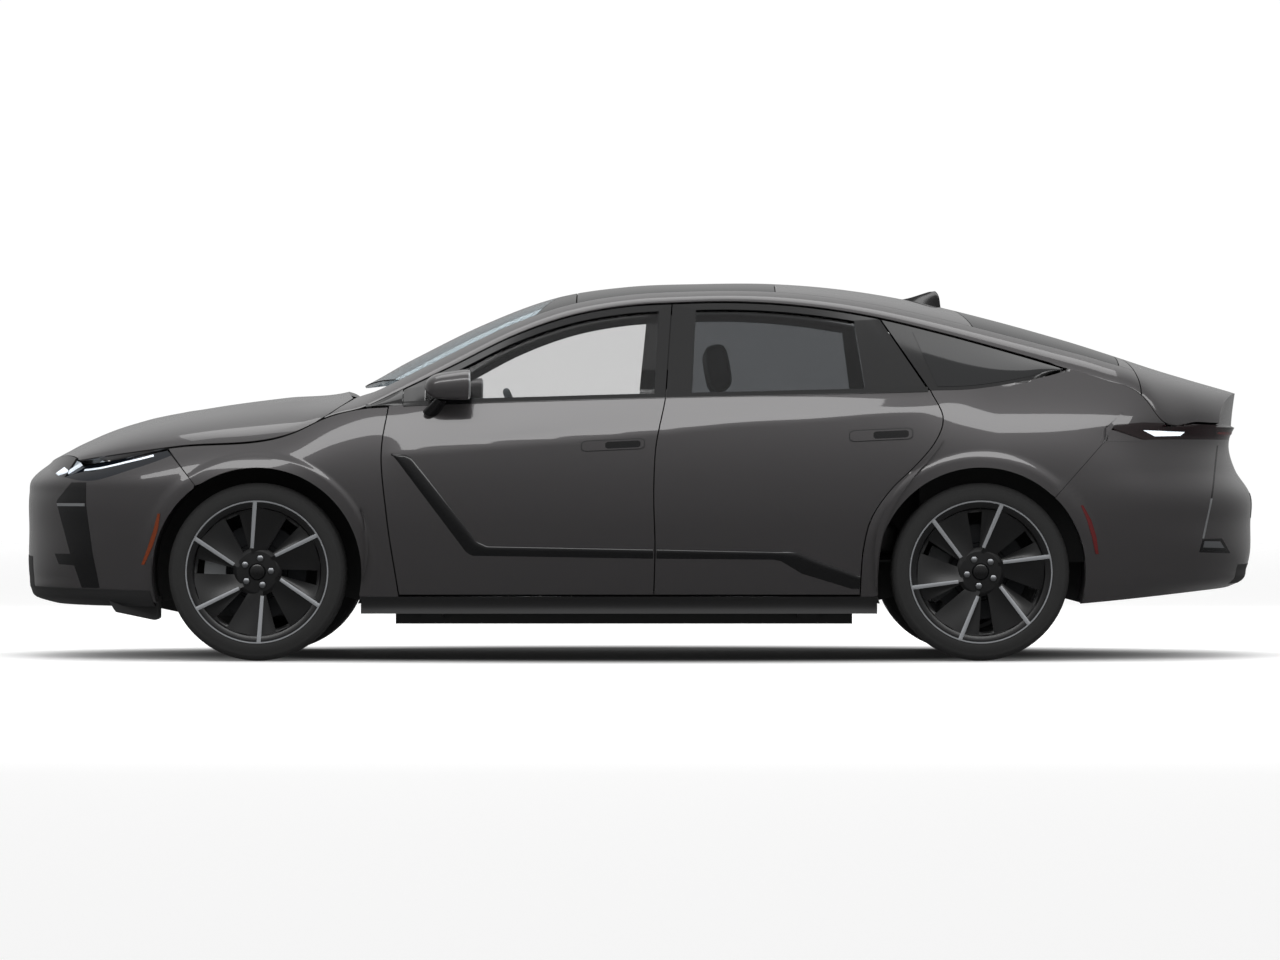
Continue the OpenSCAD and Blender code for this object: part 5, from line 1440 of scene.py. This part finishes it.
@dataclass
class Wheel:
    """Wheel with six dark sails and turned edges, its brake disc and its tyre.

    Attributes:
        side: which side.
        axle: which axle.
        turn: angle of the first sail's edge as seen from outside, in degrees.
        sails: number of sails.
        rim_r: radius of the rim under the tyre.
        half: half of the rim's width.
        track_half: distance of the wheel's middle plane from the car's.
        nut_circle: radius of the circle of nuts.
        tread_half: half of the tread's width.
    """

    side: Side
    axle: Axle
    turn: float
    sails: int = 6
    rim_r: float = 272.5
    half: float = 112.5
    track_half: float = 825.0
    nut_circle: float = 57.15
    tread_half: float = 96.0

    @property
    def body(self) -> str:
        """Returns: the CAD body of this wheel."""
        return f"wheel_{self.axle.word}_{self.side.word}"

    @property
    def centre(self) -> np.ndarray:
        """Returns: the wheel's centre in millimetres."""
        return np.array([self.axle.value, self.side.value * self.track_half, SHAPE.wheel_r])

    def place(self, r: np.ndarray, deg: np.ndarray, out: np.ndarray) -> np.ndarray:
        """Points of the wheel as seen from outside.

        Args:
            r: radii.
            deg: angles, 0 to the tail and 90 up.
            out: millimetres outwards from the wheel's middle plane.
        Returns: points, the last axis X, Y, Z.
        """
        a = np.radians(deg)
        hand = self.side.value
        return np.stack(np.broadcast_arrays(r * np.cos(a), hand * out, r * np.sin(a)), -1) + self.centre

    def ring(self, name: str, profile: Points, finish: Finish, around: int = 120) -> Obj:
        """Closed ring turned about the wheel's axis.

        Args:
            name: what it is.
            profile: (radius, outwards) pairs round the section.
            finish: its look.
            around: steps round the axis.
        Returns: the object.
        """
        return turned(f"{self.body} {name}", profile, self.centre, self.side.value, finish, self.body, around)

    def rim(self) -> None:
        """Barrel with flanges, turned outer lip, hub with cap, and brake disc."""
        r, h = self.rim_r, self.half
        barrel = self.ring("barrel", (
            (r - 17, h - 30), (r - 19, -h + 14), (r - 5, -h), (r + 12, -h), (r + 12, -h + 8), (r, -h + 14),
            (r, h - 14), (r + 12, h - 8), (r + 12, h), (r + 4, h), (r - 10, h - 6)), Look.WHEEL)
        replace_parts(barrel, self.body)
        self.ring("turned lip", (
            (r + 11, h - 5), (r + 14, h + 1), (r + 18, h + 1.5), (r + 19.5, h - 1), (r + 16, h - 4)),
            Look.MACHINED, 180)
        self.ring("hub", ((28.3, -36), (74, -36), (78, 40), (102, 58), (99, 72), (84, 84), (36, 86), (28.3, 80)),
                  Look.WHEEL, 72)
        self.ring("centre cap", ((0.5, 92), (20, 91.5), (30, 88), (31, 84), (27, 78), (0.5, 78)), Look.BLACK, 60)
        self.ring("brake disc", (
            (80, -45), (195, -45), (196, -44), (196, -36), (192, -35), (192, -25), (196, -24), (196, -16), (195, -15),
            (120, -15), (116, -8), (80, -8)), Look.DISC)

    def blade(self, name: str, lead: tuple[float, float], trail: tuple[float, float], reach: tuple[float, float],
              lead_out: tuple[float, float], trail_out: tuple[float, float]) -> Obj:
        """Blade of the wheel's face between two straight edges, slightly hollow between them.

        Args:
            name: what it is.
            lead: angles of the first edge at its inner and outer end, in degrees.
            trail: angles of the second edge.
            reach: radii of the two ends.
            lead_out: millimetres outwards of the first edge at its two ends.
            trail_out: the same of the second edge.
        Returns: the object.
        """
        u, v = np.meshgrid(np.linspace(0, 1, 20), np.linspace(0, 1, 12))
        a, b = (np.array([self.polar(r, d) for r, d in zip(reach, edge)]) for edge in (lead, trail))
        p = mix(mix(a[0], a[1], u[..., None]), mix(b[0], b[1], u[..., None]), v[..., None])
        r, deg = np.hypot(p[..., 0], p[..., 1]), np.degrees(np.arctan2(p[..., 1], p[..., 0]))
        out = mix(mix(*lead_out, u), mix(*trail_out, u), v) - 4 * np.sin(np.pi * v) * np.sin(np.pi * u)
        return shell(f"{self.body} {name}", self.place(r, deg, out), self.place(r, deg, out - 12), Look.WHEEL,
                     self.body)

    def sail(self, k: int) -> None:
        """One sail with its turned edge, the web behind that edge and the bridge outside the opening.

        Args:
            k: number of the sail.
        """
        a = self.turn + 360 / self.sails * k
        self.blade(f"sail {k + 1}", (a + 16, a + 0.3), (a - 24, a - 30.5), (80, 267), (88, 105), (74, 84))
        self.blade(f"web {k + 1}", (a + 20, a + 15.5), (a + 15, a + 0.4), (80, 267), (66, 80), (72, 92))
        self.blade(f"bridge {k + 1}", (a + 29.5, a + 29.5), (a + 15.5, a + 15.5), (246, 267), (76, 84), (74, 80))
        lead = np.array([self.polar(80, a + 16), self.polar(287, a + 0.2)])
        t = np.linspace(0.1, 1, 30)
        across = np.linspace(-1, 1, 5)
        line = mix(lead[0], lead[1], t[:, None])
        n = np.array([-(lead[1] - lead[0])[1], (lead[1] - lead[0])[0]])
        n /= np.linalg.norm(n)
        half = mix(6.5, 8.5, t)
        p = line[:, None] + n * (across[None] * half[:, None] - 2)[..., None]
        r, deg = np.hypot(p[..., 0], p[..., 1]), np.degrees(np.arctan2(p[..., 1], p[..., 0]))
        out = mix(91.5, 114.5, t)[:, None] - 1.2 * across[None]**2
        shell(f"{self.body} turned edge {k + 1}", self.place(r, deg, out), self.place(r, deg, out - 10), Look.MACHINED,
              self.body)

    @staticmethod
    def polar(r: float, deg: float) -> tuple[float, float]:
        """Plane point of a radius and an angle.

        Args:
            r: radius.
            deg: angle in degrees.
        Returns: the two coordinates.
        """
        return r * math.cos(math.radians(deg)), r * math.sin(math.radians(deg))

    def nuts(self) -> None:
        """Five wheel nuts as six-sided domes on one mesh."""
        a = np.radians(np.arange(0, 360, 30))
        r = np.array([13.5, 13.5, 12.5, 9.5, 0.3])
        z = np.array([0.0, 14, 17, 18.5, 18.8]) + 84
        hexed = 1 - 0.07 * (np.arange(12) % 2)
        grids = []
        for k in range(5):
            c = self.polar(self.nut_circle, self.turn - 15 + 72 * k)
            px = c[0] + r[:, None] * hexed * np.cos(a)
            pz = c[1] + r[:, None] * hexed * np.sin(a)
            out = np.broadcast_to(z[:, None], px.shape)
            grids.append(self.place(np.hypot(px, pz), np.degrees(np.arctan2(pz, px)), out))
        faces = np.concatenate([grid_faces(5, 12, False, True) + 60 * k for k in range(5)])
        make(f"{self.body} nuts", np.stack(grids), faces, Look.STEEL, self.body, 30)

    def tyre(self) -> Obj:
        """Tyre: a turned section with four ribs' grooves and slanted sipes cut into the tread.

        Returns: the object.
        """
        r, q = SHAPE.wheel_r, self.rim_r
        wall = [(q + 0.5, 98), (q + 12.5, 103.2), (q + 13.5, 107), (q + 18, 111), (q + 24, 114.5), (q + 33, 117.2),
                (q + 44, 117.5), (q + 56, 116.2), (r - 28, 113.5), (r - 24, 114), (r - 20, 112), (r - 13, 107),
                (r - 7.5, 101)]
        y = np.linspace(self.tread_half, -self.tread_half, 49)
        groove = 5.5 * np.max([np.exp(-((y - c) / 3.2)**8) for c in (-54, -18, 18, 54)], axis=0)
        tread = np.stack([r - 4.5 * (y / self.tread_half)**4 - 0.2, y], 1)
        section = np.concatenate([wall, tread, [(a, -b) for a, b in wall[::-1]], [(q + 0.5, 0)]])
        around = 180
        a = np.linspace(0, 360, around, endpoint=False)[:, None]
        cut = np.zeros(len(section))
        cut[len(wall):len(wall) + len(y)] = groove
        across = section[None, :, 1]
        sipe = 3.2 * np.exp(-((((a + across * 0.12 + 2.5 * np.sign(across)) % 6.0) - 3.0) / 0.9)**4)
        on_tread = (np.abs(section[:, 1]) < 108) & (section[:, 0] > r - 16)
        rad = section[None, :, 0] - np.maximum(cut[None], sipe * on_tread[None])
        grid = self.place(rad, a, np.broadcast_to(across, rad.shape))
        grid[..., 2] = np.maximum(grid[..., 2], 0.2)
        faces = grid_faces(around, len(section), True, True)
        return make(f"{self.body} tyre", grid, faces, Look.RUBBER, self.body, 38)

    def build(self) -> None:
        """Builds the wheel and hides the CAD nodes it stands for."""
        self.rim()
        for k in range(self.sails):
            self.sail(k)
        self.nuts()
        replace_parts(self.tyre(), self.body.replace("wheel", "tyre"))


# Cabin

def bulge(q: np.ndarray, e: float) -> np.ndarray:
    """Signed power, which squares a circle's sine or cosine up for small powers.

    Args:
        q: values from -1 to 1.
        e: the power.
    Returns: the values' sizes raised to the power, their signs kept.
    """
    return np.sign(q) * np.abs(q)**e


def pillow(name: str, centre: Sequence[float], size: Sequence[float], tilt: float, seams: tuple[float, ...] = (),
           box: float = 0.32, sag: float = 0.0) -> Obj:
    """Stuffed leather cushion: a rounded box whose faces swell and are drawn in along seams across its length.

    Args:
        name: the piece's name.
        centre: its middle in millimetres.
        size: length, width and thickness.
        tilt: turn about Y in degrees; positive lifts the length's far end.
        seams: places of the seams from -1 to 1 along the length.
        box: 1 gives an ellipsoid and small values a box.
        sag: millimetres the top is dished in its middle.
    Returns: the object.
    """
    u = np.linspace(-np.pi / 2, np.pi / 2, 37)[:, None]
    v = np.linspace(0, 2 * np.pi, 64, endpoint=False)[None]
    y = bulge(np.sin(u), box) * np.ones_like(v)
    x = bulge(np.cos(u), box) * bulge(np.cos(v), box)
    z = bulge(np.cos(u), box) * bulge(np.sin(v), box * 1.5)
    swell = 1 + 0.07 * np.cos(np.pi / 2 * x) * np.cos(np.pi / 2 * y)
    pinch = sum((np.exp(-((x - s) / 0.035)**2) for s in seams), np.zeros_like(x))
    welt = np.exp(-((np.abs(y) - 0.66) / 0.03)**2) * (np.abs(x) < 0.93)
    lx, ly, lz = size[0] / 2 * x, size[1] / 2 * y, size[2] / 2 * z * swell
    lz = lz - np.sign(z) * np.minimum(np.abs(z) * 3, 1) * 7 * np.maximum(pinch, welt)
    lz = lz - (z > 0) * sag * (1 - x**2) * (1 - y**4)
    c, s = math.cos(math.radians(tilt)), math.sin(math.radians(tilt))
    grid = np.stack([c * lx - s * lz, ly, s * lx + c * lz], -1) + np.asarray(centre, float)
    obj = make(name, grid, grid_faces(37, 64, False, True), Look.LEATHER, "body", 60)
    return obj


@dataclass
class Cabin:
    """Seats, dashboard, console and steering wheel."""

    floor: float = 282.0

    def seat(self, x: float, y: float, width: float, name: str) -> list[Obj]:
        """One seat: cushion, side bolsters, backrest and head rest.

        Args:
            x: station of its front edge.
            y: its middle across the car.
            width: width of the cushion.
            name: which seat.
        Returns: its pieces.
        """
        f = self.floor
        made = [pillow(f"{name} cushion", (x + 235, y, f + 252), (500, width, 130), -5, (-0.45, 0.1, 0.6), sag=12),
                pillow(f"{name} backrest", (x + 545, y, f + 560), (640, width * 0.94, 120), 106,
                       (-0.55, -0.2, 0.15, 0.5), sag=10),
                pillow(f"{name} head rest", (x + 655, y, f + 925), (190, width * 0.5, 95), 100, box=0.42)]
        for hand in (-1, 1):
            low, back = y + hand * width * 0.46, y + hand * width * 0.44
            made += [pillow(f"{name} cushion bolster {hand}", (x + 250, low, f + 275), (430, 80, 120), -5, box=0.5),
                     pillow(f"{name} back bolster {hand}", (x + 520, back, f + 520), (480, 80, 130), 106, box=0.5)]
            post = np.array([[x + 640 + 4 * k, y + hand * 60, f + 800 + 20 * k] for k in np.arange(5.0)])
            tube(f"{name} head rest post {hand}", post, 6, Look.STEEL, "body")
        base = np.array([[x + 60, y, f + 40], [x + 240, y, f + 60], [x + 460, y, f + 90]])
        made.append(tube(f"{name} base", resample(base, 8), 150, Look.CABIN, "body", 20, 0.22))
        return made

    def bench(self) -> list[Obj]:
        """Rear bench of three places.

        Returns: its pieces.
        """
        f, x = self.floor, 560
        made = []
        for y, w in ((-390, 470), (0, 280), (390, 470)):
            made += [pillow(f"bench cushion {y}", (x + 250, y, f + 230), (520, w, 150), -4, (-0.4, 0.15, 0.6), sag=10),
                     pillow(f"bench back {y}", (x + 600, y, f + 545), (660, w, 130), 114, (-0.5, -0.1, 0.3), sag=8),
                     pillow(f"bench head rest {y}", (x + 752, y, f + 860), (150, min(w * 0.6, 250), 90), 106,
                            box=0.45)]
        return made

    def dashboard(self) -> Obj:
        """Dashboard: a section of top, brow and knee panel drawn across the car, bowed towards its ends.

        Returns: the object.
        """
        section = resample([(-1060, 950), (-960, 985), (-820, 996), (-690, 985), (-640, 955), (-622, 915), (-640, 870),
                            (-690, 800), (-760, 720), (-820, 600), (-1070, 600)], 60)
        sx, sz = section.T[:, None]
        y = np.linspace(-690, 690, 60)[:, None]
        x = sx - 30 * np.abs(y / 690)**4
        brow = 26 * np.exp(-((y + 370) / 190)**4) * np.exp(-((sx + 720) / 90)**2) * (sz > 940)
        grid = np.stack(np.broadcast_arrays(x, y, sz + brow), -1)
        first, last = (np.broadcast_to(row.mean(0), (1, 60, 3)) for row in (grid[0], grid[-1]))
        whole = np.concatenate([first, grid, last])
        return make("dashboard", whole, grid_faces(62, 60, False, True), Look.CABIN, "body", 40)

    def console(self) -> None:
        """Console between the front seats, centre screen and driver's display."""
        x = np.linspace(-900, 120, 60)[:, None]
        a = np.linspace(0, 2 * np.pi, 40, endpoint=False)[None]
        top = self.floor + 300 + 60 * step(-100, 60, x) + 70 * (1 - step(-880, -620, x))
        z = mix(self.floor + 4, top, 0.5 + 0.5 * bulge(np.sin(a), 0.35))
        grid = np.stack(np.broadcast_arrays(x, 105 * bulge(np.cos(a), 0.35), z), -1)
        cap = np.concatenate([grid[:1] * [1, 0.01, 1], grid, grid[-1:] * [1, 0.01, 1]])
        make("console", cap, grid_faces(62, 40, False, True), Look.CABIN, "body", 40)
        for name, y, w, z, h in (("centre screen", 0.0, 170, 965, 95), ("driver display", -370.0, 150, 968, 55)):
            u, v = np.meshgrid(np.linspace(-1, 1, 20), np.linspace(-1, 1, 12))
            screen = np.stack([-622 + 18 * v - 8 * u**2, y + w * u, z + h * v], -1)
            shell(name, screen, screen + np.array([-12.0, 0, 0]), Look.BLACK, "body")

    def steering(self) -> None:
        """Steering wheel: leather rim, three spokes and a round pad, turned about its column."""
        c = np.array([-490.0, -370, 941.669])
        tilt = math.radians(68)
        axis = np.array([math.sin(tilt), 0, math.cos(tilt)])
        right, up = np.array([0, 1.0, 0]), np.array([-math.cos(tilt), 0, math.sin(tilt)])
        a = np.linspace(0, 2 * np.pi, 96, endpoint=False)[:, None]
        rim = tube("steering wheel rim", c + 178 * (np.cos(a) * right + np.sin(a) * up), 15, Look.LEATHER,
                   "steering_wheel", 20, closed=True)
        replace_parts(rim, "steering_wheel")
        r = np.array([0.5, 45, 58, 62, 62, 0.5])[:, None, None]
        d = np.array([14.0, 12, 6, -4, -20, -20])[:, None, None]
        b = a.T[..., None]
        make("steering wheel pad", c + r * (np.cos(b) * right + 0.85 * np.sin(b) * up) + d * axis,
             grid_faces(6, 96, False, True), Look.CABIN, "steering_wheel")
        for k, deg in enumerate((-90.0, 20.0, 160.0)):
            t = math.radians(deg)
            ray = math.cos(t) * right + math.sin(t) * up
            tube(f"steering wheel spoke {k + 1}", c - axis * 3 + ray * np.linspace(50, 172, 8)[:, None],
                 np.linspace(20, 14, 8), Look.CABIN, "steering_wheel", 14, 0.4)
        tube("steering column", c - axis * np.linspace(20, 320, 6)[:, None], 22.5, Look.CABIN, "steering_wheel", 24)

    def build(self) -> None:
        """Builds the cabin and hides the CAD nodes it stands for."""
        for y in (-370, 370):
            pieces = self.seat(-330, y, 500, f"front seat {'left' if y < 0 else 'right'}")
        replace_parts(pieces[0], "front_seats")
        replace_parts(self.bench()[0], "rear_bench")
        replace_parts(self.dashboard(), "dashboard")
        self.console()
        self.steering()


# Pieces kept from the CAD part

@dataclass
class Chassis:
    """CAD nodes that stay as they are and only get their finish."""

    frame: dict
    finishes: dict[str, Finish] = field(default_factory=lambda: {
        # battery_pack in dark grained plastic: partly its own dark underside, partly painted shade under the car
        "floor_pan": Look.SATIN, "battery_pack": Look.SATIN, "drive_units": Look.ALLOY, "front_axle": Look.CAST,
        "rear_axle": Look.CAST, "bulkhead": Look.SATIN, "trunk_tub": Look.SATIN, "b_pillars": Look.BLACK,
        "hinge_pins": Look.STEEL, "knuckle_left": Look.ALLOY, "knuckle_right": Look.ALLOY})

    def build(self) -> None:
        """Sets the finish of each kept node."""
        for name, finish in self.finishes.items():
            node = self.frame["nodes"][name]
            node.data.materials.clear()
            node.data.materials.append(finish.material())
            LOG.info("%s: CAD node in %s", name, finish.name)


# Stage

@dataclass
class Stage:
    """Pale floor, soft studio light and the camera at the photograph's place."""

    distance: float = 25.5
    eye: float = 0.739
    lens: float = 169.6

    def floor(self) -> None:
        """Pale matt floor, far wider than the car, with a painted shadow under it: a soft dark patch in its colour and
        in its faint glow.
        """
        finish = Finish("pale studio floor", "stage", "#f4f4f4",
                        (("Roughness", 0.9), ("Emission Strength", 0.25))).material()
        tree = finish.node_tree
        place = add_node(tree, "ShaderNodeTexCoord")
        part = add_node(tree, "ShaderNodeMapping", {"Location": (0, -0.1, 0), "Scale": (0.36, 0.66, 0)},
                        {"Vector": place.outputs["Object"]})
        away = add_node(tree, "ShaderNodeVectorMath", {"operation": "LENGTH"}, {"Vector": part.outputs["Vector"]})
        # Painted shadow: the floor's colour and glow darken in a soft patch round and under the car.
        shade = add_node(tree, "ShaderNodeMapRange", {
            "interpolation_type": "SMOOTHSTEP", "From Min": 0.55, "From Max": 1.08, "To Min": 0.02, "To Max": 0.9},
            {"Value": away.outputs["Value"]})
        for slot in ("Base Color", "Emission Color"):
            tree.links.new(shade.outputs["Result"], tree.nodes["Principled BSDF"].inputs[slot])
        s = 60.0
        self.sheet("floor", [(-s, -s, 0), (s, -s, 0), (s, s, 0), (-s, s, 0)], finish)

    def world(self) -> None:
        """Surround that is bright overhead and dimmer towards the horizon, as in a tent of soft light."""
        world = bpy.data.worlds.new("studio")
        world.use_nodes = True
        tree = world.node_tree
        place = add_node(tree, "ShaderNodeTexCoord")
        part = add_node(tree, "ShaderNodeSeparateXYZ", links={"Vector": place.outputs["Generated"]})
        glow = add_node(tree, "ShaderNodeMapRange", {
            "From Min": -0.15, "From Max": 0.75, "To Min": 0.14, "To Max": 0.85}, {"Value": part.outputs["Z"]})
        back = tree.nodes["Background"]
        back.inputs["Color"].default_value = colour("#ffffff")
        tree.links.new(glow.outputs["Result"], back.inputs["Strength"])
        bpy.context.scene.world = world
        bpy.context.scene.view_settings.view_transform = "Standard"

    def backdrop(self) -> None:
        """White lit wall far behind the car."""
        w, y, h = 60.0, 45.0, 30.0
        finish = Finish("lit white wall", "stage", "#000000", (
            ("Emission Color", (1.0, 1.0, 1.0, 1.0)), ("Emission Strength", 1.0)))
        self.sheet("backdrop", [(-w, y, -1), (w, y, -1), (w, y, h), (-w, y, h)], finish.material())

    def sheet(self, name: str, corners: Points, material: bpy.types.Material) -> None:
        """Flat sheet that glossy surfaces don't show.

        Args:
            name: its name.
            corners: its four corners in metres.
            material: its material.
        """
        mesh = bpy.data.meshes.new(name)
        mesh.from_pydata(corners, [], [(0, 1, 2, 3)])
        mesh.materials.append(material)
        obj = bpy.data.objects.new(name, mesh)
        obj.visible_glossy = False
        bpy.context.scene.collection.objects.link(obj)

    def light(self, name: str, at: Sequence[float], target: Sequence[float], size: tuple[float, float], watts: float,
              mirrored: bool = True) -> None:
        """Rectangular soft light.

        Args:
            name: its name.
            at: its place in metres.
            target: the point it faces.
            size: width and height in metres.
            watts: its power.
            mirrored: whether glossy surfaces show it.
        """
        data = bpy.data.lights.new(name, "AREA")
        data.shape = "RECTANGLE"
        data.size, data.size_y, data.energy = *size, watts
        obj = bpy.data.objects.new(name, data)
        bpy.context.scene.collection.objects.link(obj)
        obj.location = at
        obj.visible_glossy = mirrored
        aim = np.asarray(target, float) - np.asarray(at, float)
        obj.rotation_mode = "QUATERNION"
        obj.rotation_quaternion = Vector(aim).to_track_quat("-Z", "Y")

    def camera(self) -> None:
        """Camera square to the car's left side, level, with a long lens."""
        data = bpy.data.cameras.new("camera")
        data.lens, data.sensor_width = self.lens, 36.0
        data.clip_end = 200.0
        obj = bpy.data.objects.new("camera", data)
        obj.location = (0, -self.distance, self.eye)
        obj.rotation_euler = (math.pi / 2, 0, 0)
        bpy.context.scene.collection.objects.link(obj)
        bpy.context.scene.camera = obj

    def build(self) -> None:
        """Builds floor, surround, lights and camera."""
        self.floor()
        self.world()
        self.backdrop()
        self.light("overhead", (0, 0, 6.0), (0, 0, 0), (7.0, 4.0), 170)
        self.light("left bank", (0, -7.0, 5.0), (0, -0.6, 0.8), (16.0, 1.4), 330)
        self.light("right bank", (0, 7.0, 5.0), (0, 0.6, 0.8), (16.0, 1.4), 330, False)
        self.camera()


def main() -> None:
    """Builds the car's looks in order."""
    logging.basicConfig(level=logging.INFO, format="%(name)s %(message)s")
    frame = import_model()
    turns = {Axle.FRONT: 91.7, Axle.REAR: 133.0}
    Chassis(frame).build()
    for side in Side:
        SidePanels(side).build()
        for axle in Axle:
            Door(side, axle).build()
            Wheel(side, axle, turns[axle]).build()
        DoorMirror(side).build()
    UpperBody().build()
    Ends().build()
    Cabin().build()
    Stage().build()


if __name__ == "__main__":
    main()
